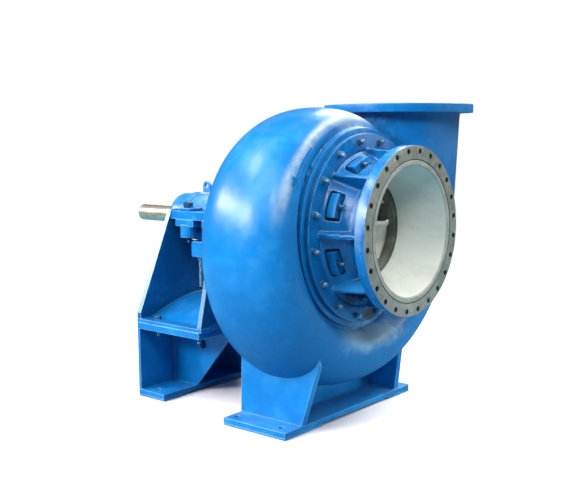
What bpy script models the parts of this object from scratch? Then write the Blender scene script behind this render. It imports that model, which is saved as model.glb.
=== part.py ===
"""A large horizontal slurry pump on its own welded feet.

Axes while modelling: the shaft runs along Y, the suction flange faces -Y, the discharge flange
faces up on the +X side, and the ground is z = 0. At the end everything is shifted so that the
middle of the whole pump stands over the origin.
"""
import math

import bmesh
import bpy
from mathutils import Vector

# Flanges, metres
FLANGE_R = 0.5075
HOLE_CIRCLE_R = 0.475
HOLE_R = 0.0165
HOLES = 24
SUCTION_FACE_Y = -0.618
SUCTION_FLANGE_T = 0.067
DISCHARGE_X = 0.774
DISCHARGE_FACE_Z = 1.962
DISCHARGE_FLANGE_T = 0.056

# Shaft line and casing
AXIS_Z = 1.197
WALL = 0.040
BOSS_R = 0.612
BOSS_Y = -0.255
REAR_BOSS_R = 0.500
REAR_BOSS_Y = 0.260
FRONT_OPENING_R = 0.5575
REAR_OPENING_R = 0.420
CHAMBER_BACK_Y = 0.165
FRONT_SEAT_Y = -0.205
REAR_SEAT_Y = 0.215
SEAT_WALL_R = 0.635
NECK_R_LOW = 0.385
NECK_R_HIGH = 0.417
NECK_BORE_LOW = 0.345
NECK_BORE_HIGH = 0.386
SECTION_POWER = 2.26

# Sections of the scroll, one row for each angle in degrees, counted from the top and
# anticlockwise as the suction side sees it: crown radius, front crest radius, front crest y,
# rear crest radius, rear crest y
SCROLL = (
    (-50, 0.628, 0.620, -0.205, 0.560, 0.225),
    (0, 0.728, 0.630, -0.215, 0.580, 0.320),
    (45, 0.818, 0.660, -0.250, 0.545, 0.400),
    (90, 0.930, 0.700, -0.300, 0.571, 0.404),
    (140, 1.010, 0.715, -0.358, 0.640, 0.408),
    (185, 1.012, 0.720, -0.368, 0.688, 0.397),
    (230, 1.068, 0.740, -0.366, 0.725, 0.391),
    (272, 1.163, 0.774, -0.388, 0.774, 0.390),
)

# Front cover with its ribbed barrel
COVER_R = 0.578
COVER_FACE_Y = -0.285
PLATE_OPEN_R = 0.484
CONE_R = 0.466
WAIST_R = 0.375
WAIST_Y = -0.430
FLARE_R = 0.412
FLARE_Y = -0.520
BARREL_R_FLANGE = 0.440
BARREL_IN_RING = 0.436
WAIST_IN_R = 0.3525
BARREL_IN_FLANGE = 0.404
WINDOWS = 8
WINDOW_HALF_DEG = 11.3
WINDOW_Y = (-0.372, -0.294)
RIB_T = 0.026
RIB_R = (0.490, 0.468)

# Liner, impeller and shaft
LINER_BORE_R = 0.389
LUG_R = 0.452
LUG_Y = (-0.362, -0.303)
LUG_HALF_DEG = 9.5
LINER_WAIST_R = 0.3475
EYE_R = 0.302
IMPELLER_R = 0.540
VANES = 5
VANE_FIRST_DEG = 87.0
VANE_WRAP_DEG = 86.0
SHAFT_R = 0.070
SHAFT_END_R = 0.0575
SHAFT_END_Y = 1.755
KEY_W = 0.032
KEY_DEPTH = 0.012

# Bearing housing and its bracket
HOUSING_R = 0.170
HOUSING_SIDES = 32
HOUSING_Y = (0.700, 1.195)
CAP_END_Y = 1.324
PLATE_DRIVE_Y = (1.172, 1.2097)
PLATE_PUMP_Y = (0.600, 0.635)
RAIL_X = (0.182, 0.268)
RAIL_Z = (1.198, 1.255)
CLAMP_Y = (1.045, 0.790)
CLAMP_X = 0.225
DECK_HALF = 0.568
DECK_Z = (0.5153, 0.540)
ARCH_HALF = 0.470
ARCH_RISE = 0.115

# Rear frame
FRAME_HALF = 0.568
FRAME_TOP_Z = (0.470, 0.515)
FRAME_Y = (0.620, 1.211)
FRAME_FOOT_Y = (0.965, 1.211)
FRAME_WEB_X = (0.233, 0.253)

# Front foot
FOOT_HALF = 0.670
FOOT_Y = (-0.178, 0.316)
FOOT_PLATE_X = (0.462, 0.507)
BASE_T = 0.047
PAD_T = 0.012
GAP = 0.0003

# Whole pump over the origin
SHIFT = Vector((-0.1727, -0.5685, 0.0))


def clear_scene():
    for obj in list(bpy.data.objects):
        bpy.data.objects.remove(obj, do_unlink=True)


def material(name, colour, roughness, metallic=0.0):
    found = bpy.data.materials.get(name)
    if found:
        return found
    made = bpy.data.materials.new(name)
    made.use_nodes = True
    shader = made.node_tree.nodes["Principled BSDF"]
    shader.inputs["Base Color"].default_value = (*colour, 1.0)
    shader.inputs["Roughness"].default_value = roughness
    shader.inputs["Metallic"].default_value = metallic
    return made


def blue():
    return material("blue_paint", (0.015, 0.190, 0.560), 0.38)


def iron():
    return material("grey_iron", (0.300, 0.290, 0.270), 0.55, 0.4)


def pale():
    return material("pale_liner", (0.620, 0.610, 0.570), 0.50)


def steel():
    return material("bright_steel", (0.560, 0.520, 0.440), 0.30, 1.0)


def add_object(name, verts, faces, mat, sharp=35.0):
    mesh = bpy.data.meshes.new(name)
    mesh.from_pydata(verts, [], faces)
    work = bmesh.new()
    work.from_mesh(mesh)
    bmesh.ops.remove_doubles(work, verts=work.verts, dist=1e-6)
    bmesh.ops.recalc_face_normals(work, faces=work.faces)
    work.to_mesh(mesh)
    work.free()
    obj = bpy.data.objects.new(name, mesh)
    bpy.context.scene.collection.objects.link(obj)
    if mat:
        mesh.materials.append(mat)
    mesh.shade_smooth()
    mesh.set_sharp_from_angle(angle=math.radians(sharp))
    return obj


def boolean(target, cutter, operation="DIFFERENCE"):
    """Joins or cuts with the exact solver, keeps the result as the target's mesh and drops the
    cutter."""
    step = target.modifiers.new("cut", "BOOLEAN")
    step.operation = operation
    step.solver = "EXACT"
    step.object = cutter
    bpy.context.view_layer.update()
    graph = bpy.context.evaluated_depsgraph_get()
    result = bpy.data.meshes.new_from_object(target.evaluated_get(graph))
    target.modifiers.clear()
    work = bmesh.new()
    work.from_mesh(result)
    bmesh.ops.remove_doubles(work, verts=work.verts, dist=3e-5)
    bmesh.ops.dissolve_degenerate(work, edges=work.edges, dist=1e-6)
    work.to_mesh(result)
    work.free()
    result.name = target.name
    target.data = result
    bpy.data.objects.remove(cutter, do_unlink=True)
    result.shade_smooth()
    result.set_sharp_from_angle(angle=math.radians(35.0))
    return target


def on_axis(radius, degrees, y):
    """A point at this radius and angle about the shaft, clockwise from the top as the suction
    side sees it."""
    angle = math.radians(degrees)
    return (radius * math.sin(angle), y, AXIS_Z + radius * math.cos(angle))


def turned(name, profile, mat, segments=48):
    """A ring turned about the shaft from a closed outline of (radius, y)."""
    verts = []
    faces = []
    count = len(profile)
    for step in range(segments):
        for radius, y in profile:
            verts.append(on_axis(radius, 360 * (step + 0.5) / segments, y))
    for step in range(segments):
        following = (step + 1) % segments
        for k in range(count):
            after = (k + 1) % count
            faces.append((step * count + k, step * count + after,
                          following * count + after, following * count + k))
    return add_object(name, verts, faces, mat)


def rod(name, start, end, radius, mat, segments=16):
    """A solid round bar between two points."""
    start = Vector(start)
    end = Vector(end)
    along = (end - start).normalized()
    side = along.orthogonal().normalized()
    other = along.cross(side)
    verts = []
    for middle in (start, end):
        for k in range(segments):
            angle = 2 * math.pi * (k + 0.5) / segments
            verts.append(middle + radius * (math.cos(angle) * side + math.sin(angle) * other))
    faces = [tuple(range(segments)), tuple(range(segments, 2 * segments))]
    for k in range(segments):
        after = (k + 1) % segments
        faces.append((k, after, segments + after, segments + k))
    return add_object(name, verts, faces, mat)


def box(name, low, high, mat):
    verts = []
    for z in (low[2], high[2]):
        for y in (low[1], high[1]):
            for x in (low[0], high[0]):
                verts.append((x, y, z))
    faces = [(0, 1, 3, 2), (4, 5, 7, 6), (0, 1, 5, 4), (2, 3, 7, 6), (0, 2, 6, 4), (1, 3, 7, 5)]
    return add_object(name, verts, faces, mat)


def plate(name, outline, axis, low, high, mat):
    """A flat plate: its outline in the two other axes, in order, from low to high along axis."""
    verts = []
    for value in (low, high):
        for a, b in outline:
            if axis == "x":
                verts.append((value, a, b))
            elif axis == "y":
                verts.append((a, value, b))
            else:
                verts.append((a, b, value))
    count = len(outline)
    faces = [tuple(range(count)), tuple(range(count, 2 * count))]
    for k in range(count):
        after = (k + 1) % count
        faces.append((k, after, count + after, count + k))
    return add_object(name, verts, faces, mat)


def hole_circle(name, radius, centre, upright, low, high, sides=10):
    """Cutters for a circle of bolt holes, in one mesh."""
    verts = []
    faces = []
    for hole in range(HOLES):
        around = 2 * math.pi * (hole + 0.5) / HOLES
        a = HOLE_CIRCLE_R * math.sin(around)
        b = HOLE_CIRCLE_R * math.cos(around)
        first = len(verts)
        for value in (low, high):
            for k in range(sides):
                angle = 2 * math.pi * k / sides
                p = a + radius * math.sin(angle)
                q = b + radius * math.cos(angle)
                if upright:
                    verts.append((centre[0] + p, centre[1] + q, value))
                else:
                    verts.append((centre[0] + p, value, centre[1] + q))
        faces.append(tuple(range(first, first + sides)))
        faces.append(tuple(range(first + sides, first + 2 * sides)))
        for k in range(sides):
            after = (k + 1) % sides
            faces.append((first + k, first + after, first + sides + after, first + sides + k))
    return add_object(name, verts, faces, None)


def station(theta):
    """The scroll's five sizes at an angle, on a smooth curve through the rows of SCROLL."""
    rows = SCROLL
    index = 0
    while index < len(rows) - 2 and theta > rows[index + 1][0]:
        index += 1
    first, second = rows[index], rows[index + 1]
    before = rows[index - 1] if index > 0 else first
    after = rows[index + 2] if index + 2 < len(rows) else second
    span = second[0] - first[0]
    t = (theta - first[0]) / span
    sizes = []
    for k in range(1, 6):
        slope_a = (second[k] - before[k]) / (second[0] - before[0])
        slope_b = (after[k] - first[k]) / (after[0] - first[0])
        sizes.append(
            (2 * t**3 - 3 * t**2 + 1) * first[k] + (t**3 - 2 * t**2 + t) * span * slope_a
            + (3 * t**2 - 2 * t**3) * second[k] + (t**3 - t**2) * span * slope_b)
    return sizes


def section(theta, offset, inner, quarter, ramp):
    """One closed section of the scroll as (radius, y), offset outward (+) or inward (-)."""
    crown, front_r, front_y, rear_r, rear_y = station(theta)
    middle_y = 0.022 * max(0.0, min(1.0, (272 - theta) / 80.0))
    crown += offset
    front_y -= offset
    rear_y += offset
    seat_front = FRONT_SEAT_Y - offset
    seat_rear = REAR_SEAT_Y + offset
    power = 2 / SECTION_POWER
    points = [(inner, seat_front)]
    start = BOSS_R - 0.004
    for k in range(ramp):
        t = k / ramp
        ease = t * t * (3 - 2 * t)
        points.append((start + (front_r - start) * t, seat_front + (front_y - seat_front) * ease))
    for k in range(quarter):
        angle = math.pi / 2 * k / quarter
        points.append((front_r + (crown - front_r) * math.sin(angle) ** power,
                       middle_y + (front_y - middle_y) * math.cos(angle) ** power))
    for k in range(quarter):
        angle = math.pi / 2 * (1 - k / quarter)
        points.append((rear_r + (crown - rear_r) * math.sin(angle) ** power,
                       middle_y + (rear_y - middle_y) * max(0.0, math.cos(angle)) ** power))
    start = REAR_BOSS_R - 0.004
    for k in range(ramp + 1):
        t = 1 - k / ramp
        ease = t * t * (3 - 2 * t)
        points.append((start + (rear_r - start) * t, seat_rear + (rear_y - seat_rear) * ease))
    points.append((inner, seat_rear))
    return points


def sweep(name, first, last, steps, offset, inner, quarter, ramp):
    """The scroll as one solid between two angles."""
    verts = []
    faces = []
    count = 0
    for step in range(steps + 1):
        theta = first + (last - first) * step / steps
        points = section(theta, offset, inner, quarter, ramp)
        count = len(points)
        for radius, y in points:
            verts.append(on_axis(radius, -theta, y))
    for step in range(steps):
        for k in range(count):
            after = (k + 1) % count
            a = step * count
            b = a + count
            # Triangles, so that the twisted faces fold the same way in the casing and in
            # the cutters made from it
            faces.append((a + k, a + after, b + after))
            faces.append((a + k, b + after, b + k))
    faces.append(tuple(range(count)))
    faces.append(tuple(range(steps * count, steps * count + count)))
    return add_object(name, verts, faces, blue())


def cone(name, radii, heights, centre, mat, segments=40):
    """A solid upright cone frustum or stack of them."""
    verts = []
    faces = []
    for radius, z in zip(radii, heights):
        for k in range(segments):
            angle = 2 * math.pi * (k + 0.5) / segments
            verts.append((centre[0] + radius * math.sin(angle),
                          centre[1] + radius * math.cos(angle), z))
    rings = len(radii)
    for ring in range(rings - 1):
        for k in range(segments):
            after = (k + 1) % segments
            a = ring * segments
            b = a + segments
            faces.append((a + k, a + after, b + after, b + k))
    faces.append(tuple(range(segments)))
    faces.append(tuple(range((rings - 1) * segments, rings * segments)))
    return add_object(name, verts, faces, mat)


def drum(name, radii, ys, mat, segments=48):
    """A solid stack of discs along the shaft."""
    verts = []
    faces = []
    for radius, y in zip(radii, ys):
        for k in range(segments):
            verts.append(on_axis(radius, 360 * (k + 0.5) / segments, y))
    rings = len(radii)
    for ring in range(rings - 1):
        for k in range(segments):
            after = (k + 1) % segments
            a = ring * segments
            b = a + segments
            faces.append((a + k, a + after, b + after, b + k))
    faces.append(tuple(range(segments)))
    faces.append(tuple(range((rings - 1) * segments, rings * segments)))
    return add_object(name, verts, faces, mat)


def casing_outside(name, grow):
    """The casing without its hollow. With grow it is that much larger, as a cutter for the
    plates that stand against it."""
    body = sweep(name, -50, 272, 36, grow, 0.45, 5, 3)
    core = turned("core", [
        (0.40, BOSS_Y - grow), (BOSS_R + grow, BOSS_Y - grow), (BOSS_R + grow, 0.20),
        (REAR_BOSS_R + grow, 0.21), (REAR_BOSS_R + grow, REAR_BOSS_Y + grow),
        (0.40, REAR_BOSS_Y + grow)], blue(), 48)
    boolean(body, core, "UNION")
    neck_top = DISCHARGE_FACE_Z - DISCHARGE_FLANGE_T / 2
    neck = cone("neck", (NECK_R_LOW + grow, NECK_R_HIGH + grow, NECK_R_HIGH + 0.012 + grow),
                (AXIS_Z - 0.02, neck_top - 0.045, neck_top), (DISCHARGE_X, 0.0), blue(), 40)
    boolean(body, neck, "UNION")
    # Round pockets keep the neck's flanks clear of both covers
    boolean(body, drum("front_pocket", (BOSS_R - 0.010, BOSS_R - 0.010), (-0.60, BOSS_Y - grow),
                       None, 48))
    boolean(body, drum("rear_pocket", (REAR_BOSS_R, REAR_BOSS_R), (REAR_BOSS_Y + grow, 0.60),
                       None, 48))
    return body


def make_casing():
    body = casing_outside("volute_casing", 0.0)
    flange = cone("flange", (FLANGE_R, FLANGE_R),
                  (DISCHARGE_FACE_Z - DISCHARGE_FLANGE_T, DISCHARGE_FACE_Z),
                  (DISCHARGE_X, 0.0), blue(), 48)
    boolean(body, flange, "UNION")
    hollow = sweep("hollow", -14, 272, 26, -WALL, 0.50, 4, 2)
    neck_hollow = cone("neck_hollow", (NECK_BORE_LOW, NECK_BORE_HIGH, NECK_BORE_HIGH),
                       (AXIS_Z - 0.02, DISCHARGE_FACE_Z - 0.10, DISCHARGE_FACE_Z + 0.05),
                       (DISCHARGE_X, 0.0), blue(), 32)
    # The wall beside the front cover's seat stays whole
    boolean(neck_hollow, drum("seat_wall", (SEAT_WALL_R, SEAT_WALL_R), (-0.60, -0.215), None, 48))
    boolean(hollow, neck_hollow, "UNION")
    chamber = drum("chamber", (FRONT_OPENING_R, FRONT_OPENING_R), (-0.30, CHAMBER_BACK_Y),
                   blue(), 48)
    boolean(hollow, chamber, "UNION")
    rear = drum("rear", (REAR_OPENING_R, REAR_OPENING_R), (0.10, 0.32), blue(), 48)
    boolean(hollow, rear, "UNION")
    boolean(body, hollow)
    holes = hole_circle("holes", HOLE_R, (DISCHARGE_X, 0.0), True,
                        DISCHARGE_FACE_Z - 0.10, DISCHARGE_FACE_Z + 0.05)
    boolean(body, holes)
    return body


def wedge_cutter(name, middle_deg, half_deg, r_low, r_high, y_low, y_high, arcs=3):
    """A piece of a ring, to cut a window through the barrel."""
    outline = []
    for k in range(arcs + 1):
        outline.append((r_high, middle_deg - half_deg + 2 * half_deg * k / arcs))
    for k in range(arcs + 1):
        outline.append((r_low, middle_deg + half_deg - 2 * half_deg * k / arcs))
    verts = [on_axis(r, a, y) for y in (y_low, y_high) for r, a in outline]
    count = len(outline)
    faces = [tuple(range(count)), tuple(range(count, 2 * count))]
    for k in range(count):
        after = (k + 1) % count
        faces.append((k, after, count + after, count + k))
    return add_object(name, verts, faces, None)


def make_cover():
    back_y = SUCTION_FACE_Y + SUCTION_FLANGE_T
    cover = turned("front_cover", [
        (COVER_R, BOSS_Y - GAP), (COVER_R, COVER_FACE_Y), (PLATE_OPEN_R, COVER_FACE_Y),
        (CONE_R, COVER_FACE_Y + 0.006), (WAIST_R, WAIST_Y), (FLARE_R, FLARE_Y),
        (BARREL_R_FLANGE, back_y), (FLANGE_R, back_y), (FLANGE_R, SUCTION_FACE_Y),
        (0.4245, SUCTION_FACE_Y), (0.4245, -0.585), (BARREL_IN_FLANGE, -0.585),
        (BARREL_IN_FLANGE, back_y), (WAIST_IN_R, WAIST_Y - 0.010), (WAIST_IN_R, WAIST_Y + 0.010),
        (BARREL_IN_RING, -0.290), (0.440, -0.240), (0.440, -0.205), (0.555, -0.205),
        (0.555, BOSS_Y - GAP)], blue(), 48)
    for k in range(WINDOWS):
        # A rib fills the hollow between the plate and the back of the flange
        degrees = 45.0 * k
        angle = math.radians(degrees)
        out = Vector((math.sin(angle), 0.0, math.cos(angle)))
        side = Vector((math.cos(angle), 0.0, -math.sin(angle)))
        base = Vector((0.0, 0.0, AXIS_Z))
        first = COVER_FACE_Y + 0.004
        last = back_y - 0.004
        outline = ((CONE_R - 0.016, first), (RIB_R[0], first), (RIB_R[1], last),
                   (BARREL_R_FLANGE - 0.012, last), (WAIST_R - 0.010, WAIST_Y - 0.008),
                   (WAIST_R - 0.010, WAIST_Y + 0.008))
        count = len(outline)
        verts = []
        for sign in (-0.5, 0.5):
            for r, y in outline:
                verts.append(base + r * out + sign * RIB_T * side + Vector((0.0, y, 0.0)))
        faces = [tuple(range(count)), tuple(range(count, 2 * count))]
        for corner in range(count):
            after = (corner + 1) % count
            faces.append((corner, after, count + after, count + corner))
        boolean(cover, add_object("rib", verts, faces, blue()), "UNION")
    for k in range(WINDOWS):
        boolean(cover, wedge_cutter("window", 45.0 * k + 22.5, WINDOW_HALF_DEG, 0.33, 0.56,
                                    WINDOW_Y[0], WINDOW_Y[1]))
    boolean(cover, hole_circle("holes", HOLE_R, (0.0, AXIS_Z), False, SUCTION_FACE_Y - 0.05,
                               back_y + 0.05))
    return cover


def make_liner():
    liner = turned("throat_liner", [
        (LINER_BORE_R, SUCTION_FACE_Y), (0.4225, SUCTION_FACE_Y), (0.4225, -0.5853),
        (0.398, -0.5853), (0.396, -0.551), (LINER_WAIST_R, WAIST_Y - 0.010),
        (LINER_WAIST_R, LUG_Y[0]), (0.386, LUG_Y[0]), (0.386, LUG_Y[1]), (0.360, LUG_Y[1]),
        (0.360, -0.2047), (0.548, -0.2047),
        (0.548, -0.165), (0.335, -0.165), (0.335, -0.310), (EYE_R, -0.310)], pale(), 48)
    for k in range(WINDOWS):
        # A lug for the adjusting stud stands in each window of the barrel
        boolean(liner, wedge_cutter("lug", 45.0 * k + 22.5, LUG_HALF_DEG, 0.370, LUG_R,
                                    LUG_Y[0], LUG_Y[1]), "UNION")
    return liner


def vane_edges(t):
    """Both edges of a vane at t from its inlet (0) to its outlet (1), as (radius, y): along the
    front shroud and along the hub."""
    front = (0.300 + (IMPELLER_R - 0.306) * t ** 1.5, -0.134 - 0.136 * (1 - t) ** 6)
    rear = (0.070 + (IMPELLER_R - 0.076) * t, 0.130 - 0.125 * (1 - t) ** 5)
    return front, rear


def make_impeller():
    """Two shrouds, backward-curved vanes and the hub, as one casting."""
    back = drum("impeller", (0.090, IMPELLER_R, IMPELLER_R, 0.300, 0.180, 0.115, 0.075, 0.035),
                (0.150, 0.150, 0.118, 0.112, 0.095, 0.050, -0.010, -0.060), iron(), 40)
    front = turned("front_shroud", [
        (0.285, -0.300), (0.326, -0.300), (0.326, -0.168), (0.345, -0.152), (IMPELLER_R, -0.148),
        (IMPELLER_R, -0.120), (0.350, -0.122), (0.302, -0.150)], iron(), 40)
    for number in range(VANES):
        start = VANE_FIRST_DEG + 360.0 / VANES * number
        steps = 7
        verts = []
        for index in range(steps + 1):
            t = index / steps
            middle = start + VANE_WRAP_DEG * t ** 0.9
            half = 0.011 + 0.007 * math.sin(math.pi * min(1.0, t + 0.15))
            for side in (-1, 1):
                for radius, y in vane_edges(t):
                    verts.append(on_axis(radius, middle + math.degrees(side * half / radius), y))
        faces = []
        for step in range(steps):
            a = step * 4
            b = a + 4
            faces += [(a, a + 1, b + 1, b), (a + 2, a + 3, b + 3, b + 2),
                      (a, a + 2, b + 2, b), (a + 1, a + 3, b + 3, b + 1)]
        faces.append((0, 1, 3, 2))
        last = steps * 4
        faces.append((last, last + 1, last + 3, last + 2))
        boolean(back, add_object("vane", verts, faces, iron()), "UNION")
    boolean(back, front, "UNION")
    return back


def make_shaft():
    shaft = drum("shaft", (0.088, 0.088, SHAFT_R, SHAFT_R, SHAFT_END_R, SHAFT_END_R, 0.053),
                 (0.1503, 0.240, 0.250, 1.290, 1.300, SHAFT_END_Y - 0.005, SHAFT_END_Y),
                 steel(), 24)
    key = box("keyway", (-KEY_W / 2, 1.500, AXIS_Z + SHAFT_END_R - KEY_DEPTH),
              (KEY_W / 2, 1.735, AXIS_Z + SHAFT_END_R + 0.03), None)
    boolean(shaft, key)
    return shaft


def make_rear_parts():
    turned("back_cover", [
        (0.105, 0.1653), (0.415, 0.1653), (0.415, REAR_BOSS_Y + GAP), (0.490, REAR_BOSS_Y + GAP),
        (0.490, 0.295), (0.105, 0.295)], blue(), 32)
    turned("seal_housing", [
        (0.098, 0.2953), (0.200, 0.2953), (0.200, 0.322), (0.160, 0.330), (0.160, 0.430),
        (0.098, 0.430)], blue(), 24)
    turned("gland", [
        (0.084, 0.4303), (0.150, 0.4303), (0.150, 0.455), (0.110, 0.455), (0.110, 0.475),
        (0.084, 0.475)], iron(), 24)
    for number, (degrees, radius) in enumerate(((-100, 0.36), (100, 0.36), (-150, 0.36),
                                                (150, 0.36)), 1):
        rod("distance_bar_%d" % number, on_axis(radius, degrees, 0.2953),
            on_axis(radius, degrees, PLATE_PUMP_Y[0] - GAP), 0.028, blue(), 12)


def make_bearing():
    # The bore stands for the bearings and clears the shaft by the gap at its flats
    flat = math.cos(math.pi / HOUSING_SIDES)
    bore = (SHAFT_R + GAP) / flat
    housing = turned("bearing_housing", [
        (bore, HOUSING_Y[0]), (HOUSING_R, HOUSING_Y[0]), (HOUSING_R, HOUSING_Y[1]),
        (bore, HOUSING_Y[1])], blue(), HOUSING_SIDES)
    for side in (-1, 1):
        for y in CLAMP_Y:
            xs = sorted((side * 0.120, side * (RAIL_X[1] - 0.006)))
            ear = box("ear", (xs[0], y - 0.052, RAIL_Z[1] + GAP),
                      (xs[1], y + 0.052, RAIL_Z[1] + 0.021), blue())
            boolean(housing, ear, "UNION")
    turned("drive_end_cap", [
        (0.078, HOUSING_Y[1] + GAP), (0.1625, HOUSING_Y[1] + GAP), (0.1625, 1.296),
        (0.155, 1.314), (0.140, CAP_END_Y), (0.078, CAP_END_Y)], blue(), HOUSING_SIDES)
    turned("pump_end_cap", [
        (0.080, 0.650), (0.150, 0.650), (0.163, 0.660), (0.163, HOUSING_Y[0] - GAP),
        (0.080, HOUSING_Y[0] - GAP)], blue(), HOUSING_SIDES)
    seat = AXIS_Z + HOUSING_R * flat + GAP
    outline = [(-0.036, seat), (0.036, seat)]
    for k in range(9):
        angle = math.radians(-20 + 220 * k / 8)
        outline.append((0.034 * math.cos(angle), 1.413 + 0.034 * math.sin(angle)))
    outline = [(1.080 + a, b) for a, b in outline]
    eye = plate("lifting_eye", outline, "x", -0.011, 0.011, blue())
    boolean(eye, rod("eye_hole", (-0.05, 1.080, 1.416), (0.05, 1.080, 1.416), 0.014, None, 12))


def make_bracket():
    arch = []
    for k in range(17):
        x = -ARCH_HALF + 2 * ARCH_HALF * k / 16
        arch.append((x, ARCH_RISE * math.cos(math.pi * x / (2 * ARCH_HALF))))
    top = [(-DECK_HALF, DECK_Z[1])] + [(x, DECK_Z[1] + h) for x, h in arch] \
        + [(DECK_HALF, DECK_Z[1])]
    bottom = [(-DECK_HALF, DECK_Z[0]), (-ARCH_HALF, DECK_Z[0])]
    bottom += [(x * 0.985, DECK_Z[0] + h) for x, h in arch[1:-1]]
    bottom += [(ARCH_HALF, DECK_Z[0]), (DECK_HALF, DECK_Z[0])]
    plate("bracket_deck", top + bottom[::-1], "y", PLATE_PUMP_Y[0], PLATE_DRIVE_Y[1], blue())
    feet = [(x, z + GAP) for x, z in top]
    # The drive-end plate tapers to the rails, with a half-round seat for the housing
    upper = [(DECK_HALF, 0.580), (0.262, 1.262), (-0.262, 1.262), (-DECK_HALF, 0.580)]
    drive = plate("bracket_plate_drive", feet + upper, "y", *PLATE_DRIVE_Y, blue())
    boolean(drive, drum("seat", (0.176, 0.176), (1.10, 1.28), None, 32))
    upper = [(DECK_HALF, 0.545), (0.510, 0.790), (0.420, 1.262), (-0.420, 1.262),
             (-0.510, 0.790), (-DECK_HALF, 0.545)]
    pump = plate("bracket_plate_pump", feet + upper, "y", *PLATE_PUMP_Y, blue())
    boolean(pump, drum("seat", (0.130, 0.130), (0.50, 0.70), None, 32))
    for side, word in ((-1, "left"), (1, "right")):
        xs = sorted((side * RAIL_X[0], side * RAIL_X[1]))
        box("rail_" + word, (xs[0], PLATE_PUMP_Y[1] + GAP, RAIL_Z[0]),
            (xs[1], PLATE_DRIVE_Y[0] - GAP, RAIL_Z[1]), blue())
        xs = sorted((side * 0.205, side * 0.250))
        box("side_beam_" + word, (xs[0], PLATE_PUMP_Y[1] + GAP, 0.945), (xs[1], 1.000, 1.050),
            blue())
    number = 0
    for side in (-1, 1):
        for y in CLAMP_Y:
            number += 1
            xs = sorted((side * RAIL_X[0], side * RAIL_X[1]))
            clamp = box("clamp_%d" % number, (xs[0], y - 0.085, 1.150),
                        (xs[1], y + 0.085, RAIL_Z[0] - GAP), blue())
            boss = rod("boss", (side * CLAMP_X, y, 1.075), (side * CLAMP_X, y, 1.160), 0.058,
                       blue(), 20)
            boolean(clamp, boss, "UNION")


def make_frame():
    box("frame_top", (-FRAME_HALF, FRAME_Y[0], FRAME_TOP_Z[0]),
        (FRAME_HALF, FRAME_Y[1], FRAME_TOP_Z[1]), blue())
    box("frame_back", (-FRAME_HALF, 1.188, BASE_T + GAP),
        (FRAME_HALF, FRAME_Y[1], FRAME_TOP_Z[0] - GAP), blue())
    for side, word in ((-1, "left"), (1, "right")):
        xs = sorted((side * FRAME_WEB_X[0], side * FRAME_WEB_X[1]))
        outline = [(1.188 - GAP, BASE_T + GAP), (1.188 - GAP, FRAME_TOP_Z[0] - GAP),
                   (0.630, FRAME_TOP_Z[0] - GAP), (0.630, 0.440), (0.965, BASE_T + GAP)]
        web = plate("frame_web_" + word, outline, "x", xs[0], xs[1], blue())
        boolean(web, rod("round", (xs[0] - 0.05, 0.905, 0.345), (xs[1] + 0.05, 0.905, 0.345),
                         0.034, None, 16))
    base = box("frame_base", (-FRAME_HALF, FRAME_FOOT_Y[0], PAD_T + GAP),
               (FRAME_HALF, FRAME_FOOT_Y[1], BASE_T), blue())
    for x, word in ((-0.501, "left"), (0.501, "right")):
        xs = sorted((math.copysign(0.397, x), math.copysign(FRAME_HALF, x)))
        pad = box("frame_pad_" + word, (xs[0], FRAME_FOOT_Y[0], 0.0),
                  (xs[1], FRAME_FOOT_Y[1], PAD_T), blue())
        for piece in (base, pad):
            boolean(piece, rod("hole", (x, 1.100, -0.05), (x, 1.100, 0.10), 0.018, None, 12))


def make_foot():
    base = box("foot_base", (-FOOT_HALF, FOOT_Y[0], PAD_T + GAP),
               (FOOT_HALF, FOOT_Y[1], BASE_T), blue())
    for x, inner, word in ((-0.598, -0.317, "left"), (0.598, 0.402, "right")):
        xs = sorted((inner, math.copysign(FOOT_HALF, x)))
        pad = box("foot_pad_" + word, (xs[0], FOOT_Y[0], 0.0), (xs[1], FOOT_Y[1], PAD_T),
                  blue())
        for y in (-0.088, 0.268):
            for piece in (base, pad):
                boolean(piece, rod("hole", (x, y, -0.05), (x, y, 0.10), 0.018, None, 12))
    outline = [(-0.172, BASE_T + GAP), (FOOT_Y[1], BASE_T + GAP), (0.302, 0.555),
               (-0.338, 0.555)]
    left = plate("foot_plate_left", outline, "x", -FOOT_PLATE_X[1], -FOOT_PLATE_X[0], blue())
    boolean(left, casing_outside("trim", GAP))
    outline = [(-0.172, BASE_T + GAP), (FOOT_Y[1], BASE_T + GAP), (0.302, 0.555),
               (-0.232, 0.555)]
    right = plate("foot_plate_right", outline, "x", FOOT_PLATE_X[0] + 0.035,
                  FOOT_PLATE_X[1] + 0.035, blue())
    boolean(right, casing_outside("trim", GAP))
    web = box("foot_web", (-FOOT_PLATE_X[0] + GAP, 0.045, BASE_T + GAP),
              (FOOT_PLATE_X[0] + 0.035 - GAP, 0.075, 0.420), blue())
    boolean(web, casing_outside("trim", GAP))


def main():
    clear_scene()
    make_casing()
    make_cover()
    make_liner()
    make_impeller()
    make_shaft()
    make_rear_parts()
    make_bearing()
    make_bracket()
    make_frame()
    make_foot()
    for obj in bpy.data.objects:
        obj.location = obj.location + SHIFT
    bpy.context.view_layer.update()


main()
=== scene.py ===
import math
import random

import bmesh
import bpy
import numpy as np
from mathutils import Euler, Matrix, Vector
from mathutils.bvhtree import BVHTree


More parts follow.
